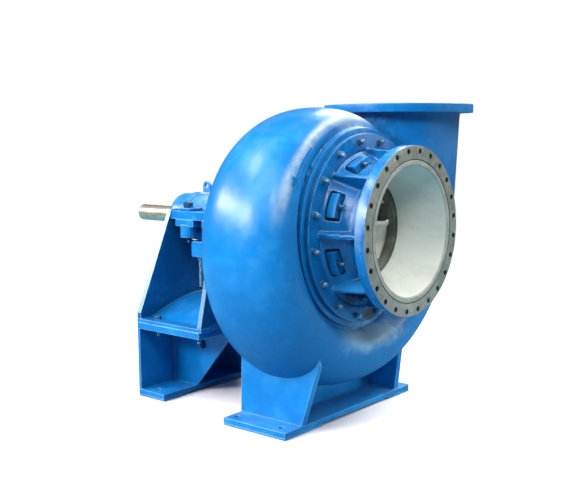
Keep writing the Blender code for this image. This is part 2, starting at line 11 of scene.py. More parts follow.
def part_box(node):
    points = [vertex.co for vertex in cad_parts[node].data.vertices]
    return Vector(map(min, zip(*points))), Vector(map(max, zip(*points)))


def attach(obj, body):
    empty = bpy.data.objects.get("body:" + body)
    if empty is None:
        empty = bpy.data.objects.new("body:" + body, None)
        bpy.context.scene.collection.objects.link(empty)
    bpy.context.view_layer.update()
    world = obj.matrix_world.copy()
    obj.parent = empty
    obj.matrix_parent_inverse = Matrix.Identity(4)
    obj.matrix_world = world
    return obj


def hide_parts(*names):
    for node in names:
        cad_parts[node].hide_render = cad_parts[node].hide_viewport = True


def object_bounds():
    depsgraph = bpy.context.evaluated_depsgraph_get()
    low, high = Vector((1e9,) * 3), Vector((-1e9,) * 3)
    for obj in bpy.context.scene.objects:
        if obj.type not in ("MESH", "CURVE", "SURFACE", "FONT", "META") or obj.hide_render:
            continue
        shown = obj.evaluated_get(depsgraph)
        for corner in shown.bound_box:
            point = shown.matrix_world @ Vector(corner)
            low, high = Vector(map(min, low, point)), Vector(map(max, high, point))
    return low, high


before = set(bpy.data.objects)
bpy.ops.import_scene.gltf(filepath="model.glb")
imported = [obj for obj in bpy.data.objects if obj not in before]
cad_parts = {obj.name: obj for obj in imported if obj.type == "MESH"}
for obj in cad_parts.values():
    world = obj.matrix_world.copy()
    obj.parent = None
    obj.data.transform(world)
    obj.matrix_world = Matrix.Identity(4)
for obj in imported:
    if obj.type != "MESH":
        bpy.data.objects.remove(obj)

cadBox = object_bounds()

# Everything below is drawn in the pump's own frame, in metres: shaft axis over x = 0, casing
# middle at y = 0, suction side towards -y
faceY = -0.618    # face of the suction flange
topZ = 1.962      # face of the discharge flange
neckX = 0.774     # middle of the discharge
coverLow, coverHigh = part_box("front_cover")
origin = Vector(((coverLow.x + coverHigh.x) / 2, coverLow.y - faceY, 0.0))
axisZ = (coverLow.z + coverHigh.z) / 2
print("frame loaded, pump origin at", [round(v, 4) for v in origin])


# Node helpers

def setInputs(tree, node, inputs):
    for key, value in inputs.items():
        socket = node.inputs[key]
        if isinstance(value, bpy.types.NodeSocket):
            tree.links.new(value, socket)
        elif socket.type == "RGBA" and len(value) == 3:
            socket.default_value = (*value, 1.0)
        else:
            socket.default_value = value


def addNode(tree, kind, inputs=None, **settings):
    node = tree.nodes.new(kind)
    for key, value in settings.items():
        setattr(node, key, value)
    setInputs(tree, node, inputs or {})
    return node


def maths(tree, operation, *values):
    node = addNode(tree, "ShaderNodeMath", dict(enumerate(values)), operation=operation)
    return node.outputs[0]


def times(tree, value, *factors):
    for factor in factors:
        value = maths(tree, "MULTIPLY", value, factor)
    return value


def plus(tree, first, second):
    return maths(tree, "ADD", first, second)


def vectorMaths(tree, operation, *values, out="Vector"):
    node = addNode(tree, "ShaderNodeVectorMath", dict(enumerate(values)), operation=operation)
    return node.outputs[out]


def axesOf(tree, vector):
    return addNode(tree, "ShaderNodeSeparateXYZ", {0: vector}).outputs


def surface(tree, normal="Normal"):
    return addNode(tree, "ShaderNodeNewGeometry").outputs[normal]


def ramp(tree, value, low, high, toLow=0.0, toHigh=1.0):
    node = addNode(tree, "ShaderNodeMapRange", {
        "Value": value, "From Min": low, "From Max": high, "To Min": toLow, "To Max": toHigh},
        interpolation_type="SMOOTHSTEP")
    return node.outputs["Result"]


def mixColour(tree, factor, first, second):
    node = addNode(tree, "ShaderNodeMix", {"Factor": factor, 6: first, 7: second},
                   data_type="RGBA")
    return node.outputs[2]


def noise(tree, vector, scale, detail=3.0, roughness=0.5, distortion=0.0):
    node = addNode(tree, "ShaderNodeTexNoise", {
        "Vector": vector, "Scale": scale, "Detail": detail, "Roughness": roughness,
        "Distortion": distortion})
    return node.outputs["Fac"]


def lineNoise(tree, value, roughness):
    line = addNode(tree, "ShaderNodeCombineXYZ", {"X": value})
    return noise(tree, line.outputs[0], 1.0, 2.0, roughness)


def newMaterial(name):
    mat = bpy.data.materials.new(name)
    mat.use_nodes = True
    tree = mat.node_tree
    place = addNode(tree, "ShaderNodeTexCoord").outputs["Object"]
    return mat, tree, tree.nodes["Principled BSDF"], place


# Camera and light

cameraSettings = {
    "place": (-4.5686, -3.4582, 1.7808),
    "yawDeg": 50.434,
    "pitchDeg": -8.288,
    "rollDeg": -0.363,
    "lens": 56.13,
    "shiftUp": 0.0403,
}


def placeCamera(settings):
    data = bpy.data.cameras.new("pumpCamera")
    data.sensor_width = 36.0
    data.sensor_fit = "HORIZONTAL"
    data.lens = settings["lens"]
    data.shift_y = settings["shiftUp"]
    data.clip_end = 200.0
    camera = bpy.data.objects.new("pumpCamera", data)
    turn = Euler((math.pi / 2 + math.radians(settings["pitchDeg"]), 0.0,
                  -math.radians(settings["yawDeg"]))).to_matrix()
    turn = turn @ Matrix.Rotation(math.radians(settings["rollDeg"]), 3, "Z")
    camera.matrix_world = Matrix.Translation(origin + Vector(settings["place"])) @ turn.to_4x4()
    bpy.context.scene.collection.objects.link(camera)
    bpy.context.scene.camera = camera


lightSettings = {
    # name, azimuth (0 faces the suction side, -90 is the left), elevation, distance, width,
    # height, power, colour
    "panels": (
        ("keyLow", -129.0, 24.0, 12.0, 14.0, 2.1, 2050.0, (1.0, 0.93, 0.97)),
        ("keySide", -106.0, 25.0, 12.0, 1.4, 1.9, 360.0, (1.0, 0.88, 0.95)),
        ("keyHigh", -146.0, 53.0, 12.0, 4.4, 2.0, 430.0, (1.0, 0.94, 0.98)),
        ("left", -88.0, 52.0, 12.0, 7.0, 4.0, 400.0, (1.0, 1.0, 1.0)),
        ("frontHigh", 38.0, 54.0, 10.0, 5.5, 3.0, 560.0, (1.0, 0.98, 0.97)),
        ("front", -8.0, 38.0, 10.0, 1.8, 3.6, 150.0, (1.0, 0.96, 0.98)),
        ("column", -52.0, 39.0, 10.0, 1.9, 2.6, 300.0, (0.97, 0.98, 1.0)),
        ("rightHigh", 76.0, 43.0, 10.0, 4.2, 2.8, 400.0, (1.0, 0.99, 0.98)),
        ("right", 108.0, 38.0, 11.0, 4.8, 4.0, 760.0, (1.0, 1.0, 1.0)),
    ),
    "aim": (0.0, 0.0, 1.30),
    # the same after each lamp's own aim, and at the end the width of its beam in degrees
    "lamps": (
        ((0.0, -0.45, axisZ), "mouth", -22.0, 38.0, 5.5, 0.7, 0.7, 1.15, (1.0, 1.0, 0.98), 10.0),
        ((0.1, -0.15, 0.30), "foot", 24.0, 4.0, 3.2, 1.4, 0.4, 1.6, (1.0, 1.0, 0.98), 26.0),
    ),
    "sky": {"Color": (0.82, 0.93, 1.0), "Strength": 0.12},
    "backdrop": {"Color": (1.0, 1.0, 1.0), "Strength": 1.0},
    "floor": (0.93, 0.93, 0.93),
    "floorBounce": (0.11, 0.30, 0.38),
    "floorGloss": {"Roughness": 0.7, "Specular IOR Level": 0.2},
    "floorHalf": 14.0,
    "floorDrop": 0.001,
    "floorFade": (3.5, 10.0),
}


def addPanel(aim, name, azimuth, elevation, distance, width, height, power, colour, spread=180.0):
    around = math.radians(azimuth)
    up = math.radians(elevation)
    away = Vector((math.sin(around) * math.cos(up), -math.cos(around) * math.cos(up), math.sin(up)))
    data = bpy.data.lights.new(name, "AREA")
    data.shape = "RECTANGLE"
    data.size = width
    data.size_y = height
    data.energy = power
    data.color = colour
    data.spread = math.radians(spread)
    lamp = bpy.data.objects.new(name, data)
    lamp.location = origin + Vector(aim) + away * distance
    lamp.rotation_euler = (-away).to_track_quat("-Z", "Y").to_euler()
    bpy.context.scene.collection.objects.link(lamp)


def paintSky(settings):
    world = bpy.data.worlds.new("studioWorld")
    bpy.context.scene.world = world
    world.use_nodes = True
    tree = world.node_tree
    shade = tree.nodes["Background"]
    setInputs(tree, shade, settings["sky"])
    paper = addNode(tree, "ShaderNodeBackground", settings["backdrop"])
    seen = addNode(tree, "ShaderNodeLightPath")
    pick = addNode(tree, "ShaderNodeMixShader", {
        0: seen.outputs["Is Camera Ray"], 1: shade.outputs[0], 2: paper.outputs[0]})
    setInputs(tree, tree.nodes["World Output"], {"Surface": pick.outputs[0]})


def layFloor(settings):
    half = settings["floorHalf"]
    mesh = bpy.data.meshes.new("studioFloor")
    mesh.from_pydata([(-half, -half, 0), (half, -half, 0), (half, half, 0), (-half, half, 0)], [],
                     [(0, 1, 2, 3)])
    mat, tree, shader, place = newMaterial("paleFloor")
    seen = addNode(tree, "ShaderNodeLightPath").outputs["Is Camera Ray"]
    away = vectorMaths(tree, "LENGTH", place, out="Value")
    setInputs(tree, shader, settings["floorGloss"])
    setInputs(tree, shader, {
        "Base Color": mixColour(tree, seen, settings["floorBounce"], settings["floor"]),
        "Alpha": ramp(tree, away, *settings["floorFade"], 1.0, 0.0)})
    mesh.materials.append(mat)
    floor = bpy.data.objects.new("studioFloor", mesh)
    floor.location = (0.0, 0.0, -settings["floorDrop"])
    bpy.context.scene.collection.objects.link(floor)


def lightStudio(settings):
    bpy.context.scene.view_settings.view_transform = "Standard"
    bpy.context.scene.view_settings.look = "None"
    for panel in settings["panels"]:
        addPanel(settings["aim"], *panel)
    for lamp in settings["lamps"]:
        addPanel(*lamp)
    paintSky(settings)
    layFloor(settings)


placeCamera(cameraSettings)
lightStudio(lightSettings)
print("camera and studio light placed")


# Shared effects, each a node group

def newGroup(name, inputs, outputs):
    tree = bpy.data.node_groups.new(name, "ShaderNodeTree")
    for label, value in inputs.items():
        kind = "Vector" if value is None else "Color" if isinstance(value, tuple) else "Float"
        socket = tree.interface.new_socket(label, in_out="INPUT", socket_type="NodeSocket" + kind)
        if value is not None:
            socket.default_value = value
    for label in outputs:
        kind = "Color" if label == "Colour" else "Float"
        tree.interface.new_socket(label, in_out="OUTPUT", socket_type="NodeSocket" + kind)
    return tree, tree.nodes.new("NodeGroupInput").outputs, tree.nodes.new("NodeGroupOutput")


def useGroup(tree, group, inputs):
    return addNode(tree, "ShaderNodeGroup", inputs, node_tree=group).outputs


def makePaintClouds():
    tree, given, out = newGroup("paintClouds", {
        "Vector": None, "Paint": (0, 0, 0, 1), "Deep": (0, 0, 0, 1), "Chalk": (1, 1, 1, 1),
        "Size": 2.0, "Chalkiness": 0.5}, ("Colour", "Mask"))
    broad = noise(tree, given["Vector"], given["Size"], 4.0, 0.58, 0.5)
    small = noise(tree, given["Vector"], times(tree, given["Size"], 4.5), 6.0, 0.66, 0.25)
    tone = mixColour(tree, ramp(tree, broad, 0.35, 0.65), given["Deep"], given["Paint"])
    cloud = times(tree, ramp(tree, broad, 0.44, 0.66), ramp(tree, small, 0.36, 0.70),
                  given["Chalkiness"])
    setInputs(tree, out, {"Colour": mixColour(tree, cloud, tone, given["Chalk"]), "Mask": cloud})
    return tree


# paint worn off the edges, which also paints the edges' highlights
def makeEdgeWearAndHighlight():
    tree, given, out = newGroup("edgeWearAndHighlight", {"Vector": None, "Width": 0.004, "Breakup": 0.5},
                                ("Mask",))
    bevel = addNode(tree, "ShaderNodeBevel", {"Radius": given["Width"]}, samples=4)
    dot = vectorMaths(tree, "DOT_PRODUCT", bevel.outputs[0], surface(tree), out="Value")
    rough = noise(tree, given["Vector"], 38.0, 4.0, 0.65)
    torn = maths(tree, "SUBTRACT", rough, times(tree, given["Breakup"], 0.6))
    setInputs(tree, out, {
        "Mask": times(tree, ramp(tree, dot, 0.99, 0.90), ramp(tree, torn, 0.20, 0.34))})
    return tree


def makeDust():
    tree, given, out = newGroup("settledDust", {
        "Vector": None, "Amount": 0.4, "Tilt": 0.25, "Scale": 9.0}, ("Mask",))
    up = ramp(tree, axesOf(tree, surface(tree))["Z"], given["Tilt"], 0.95)
    patch = ramp(tree, noise(tree, given["Vector"], given["Scale"], 5.0, 0.6, 0.4), 0.35, 0.75)
    setInputs(tree, out, {"Mask": times(tree, up, patch, given["Amount"])})
    return tree


# ambient occlusion darkening: with a short reach it lays dirt in crevices, with a long reach
# painted shade
def makeCrevice():
    tree, given, out = newGroup("creviceDirtAndShade", {
        "Vector": None, "Reach": 0.04, "Open": 0.62, "Shut": 0.15, "Amount": 0.6}, ("Mask",))
    hidden = addNode(tree, "ShaderNodeAmbientOcclusion", {"Distance": given["Reach"]}, samples=6)
    deep = ramp(tree, hidden.outputs["AO"], given["Open"], given["Shut"])
    rough = ramp(tree, noise(tree, given["Vector"], 24.0, 4.0, 0.6), 0.25, 0.60)
    setInputs(tree, out, {"Mask": times(tree, deep, rough, given["Amount"])})
    return tree


def makeCastSkin():
    tree, given, out = newGroup("castSkin", {
        "Vector": None, "Grain": 160.0, "Waves": 7.0, "Waviness": 0.6}, ("Height",))
    fine = noise(tree, given["Vector"], given["Grain"], 3.0, 0.6)
    broad = noise(tree, given["Vector"], given["Waves"], 2.0, 0.5)
    height = plus(tree, times(tree, fine, 0.10), times(tree, broad, given["Waviness"]))
    setInputs(tree, out, {"Height": height})
    return tree


def makeToolMarks():
    tree, given, out = newGroup("toolMarks", {"Vector": None, "Centre": None, "Scale": 420.0},
                                ("Height", "Tone"))
    offset = vectorMaths(tree, "SUBTRACT", given["Vector"], given["Centre"])
    radius = vectorMaths(tree, "LENGTH", offset, out="Value")
    rings = lineNoise(tree, times(tree, radius, given["Scale"]), 0.7)
    blot = noise(tree, given["Vector"], 11.0, 4.0, 0.6, 0.5)
    tone = plus(tree, times(tree, rings, 0.35), times(tree, blot, 0.65))
    setInputs(tree, out, {"Height": rings, "Tone": tone})
    return tree


paintClouds = makePaintClouds()
edgeWearAndHighlight = makeEdgeWearAndHighlight()
settledDust = makeDust()
creviceDirtAndShade = makeCrevice()
castSkin = makeCastSkin()
toolMarks = makeToolMarks()


def addBump(tree, shader, height, distance, strength=0.6):
    bump = addNode(tree, "ShaderNodeBump", {
        "Height": height, "Distance": distance, "Strength": strength})
    setInputs(tree, shader, {"Normal": bump.outputs["Normal"]})


def addSkin(tree, shader, place, grain, waviness, bump):
    skin = useGroup(tree, castSkin, {"Vector": place, "Grain": grain, "Waviness": waviness})
    addBump(tree, shader, skin["Height"], bump)


def addDirt(tree, place, colour, reach, amount):
    dirty = useGroup(tree, creviceDirtAndShade, {"Vector": place, "Reach": reach, "Amount": amount})
    return mixColour(tree, dirty["Mask"], colour, paintSettings["dirt"])


# Paint

paintSettings = {
    "paint": (0.002, 0.215, 0.600),
    "deep": (0.001, 0.170, 0.480),
    "chalk": (0.022, 0.300, 0.640),
    # painted reflection of the sky: a pale band along the casing's shoulder and a patch on its
    # crown
    "skySheen": (0.400, 0.530, 0.620),
    # a pale dust deposit that also paints in light, below the cover and on the foot's base
    "depositAndLight": (0.300, 0.500, 0.620),
    # painted shade: the paint darker low on the casing and the cover
    "lowerShade": (0.001, 0.140, 0.390),
    # painted highlight on the front cover's lower rib
    "bright": (0.020, 0.360, 0.800),
    # painted shadow under the front cover's lower rib, over cover and casing
    "ribShadow": (0.006, 0.018, 0.030),
    # chalky paint bloom, which on the cover's cone and flange rim and on the neck is also a painted
    # highlight
    "bloomAndSheen": (0.330, 0.520, 0.780),
    # edge wear, which also paints the edges' highlights
    "wornEdgeAndHighlight": (0.350, 0.560, 0.760),
    # painted highlight on faces that lean sideways and up
    "leanHighlight": (0.260, 0.430, 0.500),
    "dust": (0.110, 0.300, 0.440),
    "dirt": (0.030, 0.040, 0.040),
    # painted shade in recesses, laid by ambient occlusion
    "occlusionShade": (0.002, 0.075, 0.165),
    "rust": (0.040, 0.022, 0.015),
    "shine": {"Coat Weight": 0.14, "Coat Roughness": 0.18, "Specular IOR Level": 0.40},
    # the painted sky sheen, a painted reflection, lies as a band on the suction side and stops at
    # the neck
    "bandY": (-0.09, -0.16),
    "bandX": (0.24, 0.08),
}


# painted reflection: a pale band of sky sheen along the casing's shoulder
def skySheenBand(tree, place, crest, lean, half, height, strength):
    at = axesOf(tree, place)
    fromShaft = vectorMaths(tree, "MULTIPLY", vectorMaths(tree, "SUBTRACT", place,
                                                          (0.0, 0.0, axisZ)), (1.0, 0.0, 1.0))
    drift = plus(tree, vectorMaths(tree, "LENGTH", fromShaft, out="Value"),
                 times(tree, at["Z"], lean))
    across = maths(tree, "ABSOLUTE", maths(tree, "SUBTRACT", drift, crest + lean * axisZ))
    torn = ramp(tree, noise(tree, place, 13.0, 6.0, 0.68), 0.30, 0.66, 0.35, 1.0)
    return times(tree, ramp(tree, across, half, half * 0.3), ramp(tree, at["Z"], *height),
                 ramp(tree, at["Y"], *paintSettings["bandY"]),
                 ramp(tree, at["X"], *paintSettings["bandX"]), torn, strength)


def stainMask(tree, place, centre, size, strength):
    away = vectorMaths(tree, "DIVIDE", vectorMaths(tree, "SUBTRACT", place, centre), size)
    ragged = noise(tree, place, 15.0, 5.0, 0.65, 0.4)
    spread = plus(tree, vectorMaths(tree, "LENGTH", away, out="Value"), times(tree, ragged, 0.9))
    return ramp(tree, spread, 1.45, 0.70, 0.0, strength)


def makePaint(name, cloudSize, chalkiness, edge=0.5, dust=0.25, grain=150.0, waviness=0.6,
              bump=0.0035, stains=(), edgeWidth=0.005, paintedLightScale=1.0, reach=0.16, shade=0.6,
              slope=0.0, tilt=0.25, skySheen=None, gloss=0.29):
    mat, tree, shader, place = newMaterial(name)
    s = paintSettings
    # paintedLightScale darkens a part's whole paint below 1, painted shade, and lightens it above
    # 1, painted light
    cloud = useGroup(tree, paintClouds, {
        "Vector": place, "Paint": tuple(v * paintedLightScale for v in s["paint"]),
        "Deep": tuple(v * paintedLightScale for v in s["deep"]), "Chalk": s["chalk"], "Size": cloudSize,
        "Chalkiness": chalkiness})
    edgeMask = useGroup(tree, edgeWearAndHighlight, {"Vector": place, "Width": edgeWidth, "Breakup": 1 - edge})
    dusty = useGroup(tree, settledDust, {"Vector": place, "Amount": dust, "Tilt": tilt})
    # painted shade: ambient occlusion darkens recesses, except on faces that look up
    shaded = useGroup(tree, creviceDirtAndShade, {"Vector": place, "Reach": reach, "Open": 0.88,
                                          "Shut": 0.38, "Amount": shade})
    colour = cloud["Colour"]
    # painted reflection of the sky along the shoulder
    if skySheen:
        colour = mixColour(tree, skySheenBand(tree, place, *skySheen), colour, s["skySheen"])
    facing = axesOf(tree, surface(tree, "True Normal"))
    shadeMask = times(tree, shaded["Mask"], ramp(tree, facing["Z"], 0.45, 0.10))
    colour = mixColour(tree, shadeMask, colour, s["occlusionShade"])
    # edge wear and painted edge highlights
    colour = mixColour(tree, times(tree, edgeMask["Mask"], edge), colour, s["wornEdgeAndHighlight"])
    colour = mixColour(tree, dusty["Mask"], colour, s["dust"])
    colour = addDirt(tree, place, colour, 0.035, 0.7)
    if slope:    # painted highlight on faces that lean sideways and up
        lean = times(tree, maths(tree, "ABSOLUTE", facing["X"]), facing["Z"])
        leanLit = times(tree, ramp(tree, lean, 0.12, 0.22),
                       ramp(tree, noise(tree, place, 18.0, 5.0, 0.7), 0.30, 0.44), slope)
        colour = mixColour(tree, leanLit, colour, s["leanHighlight"])
    rough = plus(tree, ramp(tree, cloud["Mask"], 0.0, 0.5, gloss, gloss + 0.2),
                 times(tree, dusty["Mask"], 0.4))
    for tint, *stain in stains:
        stain = stainMask(tree, place, *stain)
        colour = mixColour(tree, stain, colour, s[tint])
        rough = plus(tree, rough, times(tree, stain, 0.3))
    setInputs(tree, shader, {"Base Color": colour, "Roughness": rough})
    setInputs(tree, shader, s["shine"])
    addSkin(tree, shader, place, grain, waviness, bump)
    return mat


# Bare metal and the liner's primer

metalSettings = {
    "face": (0.190, 0.195, 0.165),
    "faceLight": (0.360, 0.350, 0.300),
    "lip": (0.300, 0.300, 0.260),
    "lipLight": (0.470, 0.460, 0.400),
    "liner": (0.600, 0.625, 0.570),
    "linerStain": (0.460, 0.480, 0.410),
    "steel": (0.520, 0.480, 0.390),
    "steelDark": (0.300, 0.260, 0.190),
    # dark and light of each iron
    "raw": ((0.090, 0.080, 0.065), (0.190, 0.175, 0.150)),
    # painted shade: near black for the walls of holes, slots and gaps between parts
    "hole": ((0.012, 0.016, 0.013), (0.040, 0.046, 0.036)),
    "eye": ((0.070, 0.074, 0.060), (0.150, 0.155, 0.128)),
    # painted shade inside the impeller, on its hub and channel walls
    "inner": ((0.110, 0.100, 0.085), (0.220, 0.205, 0.180)),
    "impeller": ((0.640, 0.620, 0.560), (0.860, 0.840, 0.780)),
    # base, bare metal and how much of the edges is bare
    "nut": ((0.002, 0.085, 0.200), (0.220, 0.440, 0.580), 0.7),
    "darkNut": ((0.003, 0.050, 0.130), (0.060, 0.170, 0.280), 0.5),
    "stud": ((0.030, 0.180, 0.330), (0.620, 0.700, 0.730), 0.9),
}


def makeMachined(name, centre, dark="face", light="faceLight"):
    mat, tree, shader, place = newMaterial(name)
    marks = useGroup(tree, toolMarks, {"Vector": place, "Centre": centre, "Scale": 520.0})
    speck = noise(tree, place, 75.0, 4.0, 0.75)
    tone = plus(tree, times(tree, marks["Tone"], 0.6), times(tree, speck, 0.4))
    colour = mixColour(tree, ramp(tree, tone, 0.38, 0.62), metalSettings[dark],
                       metalSettings[light])
    setInputs(tree, shader, {
        "Base Color": addDirt(tree, place, colour, 0.02, 0.6), "Metallic": 0.25,
        "Roughness": ramp(tree, marks["Tone"], 0.2, 0.8, 0.42, 0.62)})
    addBump(tree, shader, marks["Height"], 0.0004, 0.5)
    return mat


def makeLinerPaint():
    mat, tree, shader, place = newMaterial("linerPaint")
    stretch = addNode(tree, "ShaderNodeMapping", {"Vector": place, "Scale": (1.0, 0.35, 1.0)})
    streak = noise(tree, stretch.outputs[0], 9.0, 5.0, 0.6, 0.6)
    speck = noise(tree, place, 60.0, 3.0, 0.6)
    stain = times(tree, ramp(tree, streak, 0.46, 0.72), ramp(tree, speck, 0.3, 0.6), 0.6)
    setInputs(tree, shader, {
        "Base Color": mixColour(tree, stain, metalSettings["liner"], metalSettings["linerStain"]),
        "Roughness": ramp(tree, streak, 0.3, 0.7, 0.30, 0.46)})
    addSkin(tree, shader, place, 90.0, 0.35, 0.0012)
    return mat


def makeCastIron(name, dark, light):
    mat, tree, shader, place = newMaterial(name)
    patch = noise(tree, place, 6.5, 5.0, 0.6, 0.5)
    colour = mixColour(tree, ramp(tree, patch, 0.36, 0.66), dark, light)
    setInputs(tree, shader, {
        "Base Color": addDirt(tree, place, colour, 0.03, 0.6),
        "Roughness": ramp(tree, patch, 0.3, 0.7, 0.62, 0.48)})
    addSkin(tree, shader, place, 110.0, 0.5, 0.002)
    return mat


def makeShaftSteel():
    mat, tree, shader, place = newMaterial("turnedSteel")
    rings = lineNoise(tree, times(tree, axesOf(tree, place)["Y"], 900.0), 0.6)
    film = noise(tree, place, 14.0, 5.0, 0.6, 0.6)
    setInputs(tree, shader, {
        "Base Color": mixColour(tree, ramp(tree, film, 0.42, 0.74), metalSettings["steel"],
                                metalSettings["steelDark"]),
        "Metallic": 0.85, "Roughness": ramp(tree, film, 0.3, 0.7, 0.30, 0.50)})
    addBump(tree, shader, rings, 0.0003, 0.5)
    return mat


def makeNutMetal(name, base, bare, edge):
    mat, tree, shader, place = newMaterial(name)
    edgeMask = useGroup(tree, edgeWearAndHighlight, {"Vector": place, "Width": 0.005, "Breakup": 0.35})
    patch = ramp(tree, noise(tree, place, 55.0, 4.0, 0.6), 0.42, 0.62)
    mask = maths(tree, "MAXIMUM", times(tree, edgeMask["Mask"], edge), times(tree, patch, 0.25))
    setInputs(tree, shader, {
        "Base Color": mixColour(tree, mask, base, bare), "Metallic": times(tree, mask, 0.5),
        "Roughness": ramp(tree, mask, 0.0, 1.0, 0.42, 0.30)})
    return mat


plateLook = {"grain": 210.0, "waviness": 0.25, "bump": 0.0020, "edgeWidth": 0.007}

# a stain is its tint, its centre, its half sizes and its strength
# castPaint paints light and shade: its recesses are darkened as painted shade, a pale band along
# the shoulder and a patch on the crown are painted sky reflections, the paint is darker low down
# and on the lower left as painted shade, a dark patch under the cover's lower rib is a painted
# shadow, a pale patch on the neck is bloom and painted sheen, and the pale patch below the cover is
# a dust deposit and painted light
castPaint = makePaint("castPaint", 2.1, 0.50, edge=0.25, dust=0.22, bump=0.009, shade=0.90,
                      reach=0.22, tilt=0.30, skySheen=(0.838, 0.23, 0.046, (1.22, 1.46), 0.80),
                      stains=(("lowerShade", (-0.05, -0.10, 0.50), (1.400, 0.800, 0.760), 0.85),
                              ("lowerShade", (-0.70, -0.27, 1.12), (0.150, 0.120, 0.420), 0.80),
                              ("bloomAndSheen", (0.75, -0.42, 1.80), (0.300, 0.200, 0.420), 0.16),
                              ("skySheen", (-0.07, -0.20, 1.880), (0.360, 0.130, 0.150), 0.60),
                              ("ribShadow", (-0.20, -0.40, 0.790), (0.150, 0.130, 0.100), 0.92),
                              ("depositAndLight", (0.00, -0.310, 0.535), (0.460, 0.150, 0.120), 0.85)))
# coverPaint is painted darker all over as painted shade; beside a real rust stain, its paint is
# darker low on the left as painted shade, the lower rib has a painted highlight on top and a
# painted shadow below, and pale patches on the ring's top, the cone and the flange rim are bloom
# and painted highlights
coverPaint = makePaint("coverPaint", 3.4, 0.25, edge=0.75, dust=0.20, edgeWidth=0.006,
                       paintedLightScale=0.74, reach=0.10, shade=0.45, gloss=0.24, stains=(
                           ("rust", (0.07, -0.285, 0.665), (0.180, 0.085, 0.060), 0.95),
                           ("lowerShade", (-0.42, -0.29, 0.86), (0.420, 0.070, 0.500), 0.60),
                           ("bright", (-0.34, -0.40, 0.885), (0.110, 0.160, 0.100), 0.80),
                           ("ribShadow", (-0.19, -0.35, 0.790), (0.150, 0.150, 0.095), 0.92),
                           ("bloomAndSheen", (0.10, -0.29, 1.76), (0.360, 0.120, 0.130), 0.30),
                           ("bloomAndSheen", (-0.37, -0.45, 1.345), (0.080, 0.070, 0.150), 0.60),
                           ("bloomAndSheen", (-0.47, -0.57, 1.300), (0.080, 0.060, 0.240), 0.50)))
# footPaint is painted lighter all over as painted light, its leaning faces get a painted highlight,
# a pale patch on the base is dust and painted light, and one on the left plate is bloom and painted
# light
footPaint = makePaint("footPaint", 4.4, 0.95, edge=0.85, dust=0.55, reach=0.20, shade=0.10,
                      slope=0.4, paintedLightScale=1.12, **plateLook,
                      stains=(("depositAndLight", (0.05, -0.10, 0.040), (1.100, 0.420, 0.050), 0.50),
                              ("bloomAndSheen", (-0.51, 0.04, 0.150), (0.080, 0.170, 0.120), 0.55)))
framePaint = makePaint("framePaint", 3.6, 0.60, edge=0.85, dust=0.12, reach=0.30, shade=0.42,
                       **plateLook)
# bracketPaint is painted darker all over and in its recesses as painted shade, and its leaning
# faces get a painted highlight
bracketPaint = makePaint("bracketPaint", 3.6, 0.40, edge=0.80, dust=0.10, reach=0.35, shade=0.95,
                         paintedLightScale=0.62, slope=0.6, **plateLook)
# a pale patch on the housing's top is bloom and painted sheen
housingPaint = makePaint("housingPaint", 4.0, 0.45, edge=0.55, dust=0.60,
                         stains=(("bloomAndSheen", (-0.10, 0.93, 1.370), (0.200, 0.260, 0.090), 0.45),))
weldPaint = makePaint("weldPaint", 6.0, 1.0, edge=0.8, dust=0.20, grain=260.0, bump=0.0010,
                      shade=0.2)
flangeFace = makeMachined("flangeFace", (0.0, faceY, axisZ))
topFace = makeMachined("topFace", (neckX, 0.0, topZ))
linerFace = makeMachined("linerFace", (0.0, faceY, axisZ), "lip", "lipLight")
linerPaint = makeLinerPaint()
rawIron = makeCastIron("rawIron", *metalSettings["raw"])
holeShade = makeCastIron("holeShade", *metalSettings["hole"])
eyeIron = makeCastIron("eyeIron", *metalSettings["eye"])
innerShade = makeCastIron("innerShade", *metalSettings["inner"])
impellerIron = makeCastIron("impellerIron", *metalSettings["impeller"])
shaftSteel = makeShaftSteel()
nutPaint = makeNutMetal("nutPaint", *metalSettings["nut"])
darkNut = makeNutMetal("darkNut", *metalSettings["darkNut"])
studMetal = makeNutMetal("studMetal", *metalSettings["stud"])
print("finishes made")


# Mesh helpers

def shadeSoft(obj, degrees):
    obj.data.shade_smooth()
    obj.data.set_sharp_from_angle(angle=math.radians(degrees))


def addPiece(name, verts, faces, materials=(), smoothDeg=32.0):
    mesh = bpy.data.meshes.new(name)
    mesh.from_pydata([tuple(v) for v in verts], [], [tuple(f) for f in faces])
    for mat in materials:
        mesh.materials.append(mat)
    work = bmesh.new()
    work.from_mesh(mesh)
    bmesh.ops.recalc_face_normals(work, faces=work.faces)
    work.to_mesh(mesh)
    work.free()
    obj = bpy.data.objects.new(name, mesh)
    shadeSoft(obj, smoothDeg)
    bpy.context.scene.collection.objects.link(obj)
    obj.location = origin
    return obj


def addStep(obj, name, kind, **settings):
    step = obj.modifiers.new(name, kind)
    for key, value in settings.items():
        setattr(step, key, value)


def evaluated(obj):
    bpy.context.view_layer.update()
    graph = bpy.context.evaluated_depsgraph_get()
    mesh = bpy.data.meshes.new_from_object(obj.evaluated_get(graph))
    obj.modifiers.clear()
    mesh.name = obj.name
    old = obj.data
    obj.data = mesh
    bpy.data.meshes.remove(old)


def carve(target, cutter, operation="DIFFERENCE"):
    addStep(target, "carve", "BOOLEAN", operation=operation, solver="MANIFOLD", object=cutter)
    evaluated(target)
    bpy.data.objects.remove(cutter, do_unlink=True)


def roundEdges(obj, width, segments):
    addStep(obj, "round", "BEVEL", width=width, segments=segments, limit_method="ANGLE")
    evaluated(obj)


def joinMeshes(name, objects):
    work = bmesh.new()
    for obj in objects:
        work.from_mesh(obj.data)
        bpy.data.objects.remove(obj, do_unlink=True)
    mesh = bpy.data.meshes.new(name)
    work.to_mesh(mesh)
    work.free()
    joined = bpy.data.objects.new(name, mesh)
    bpy.context.scene.collection.objects.link(joined)
    joined.location = origin
    return joined


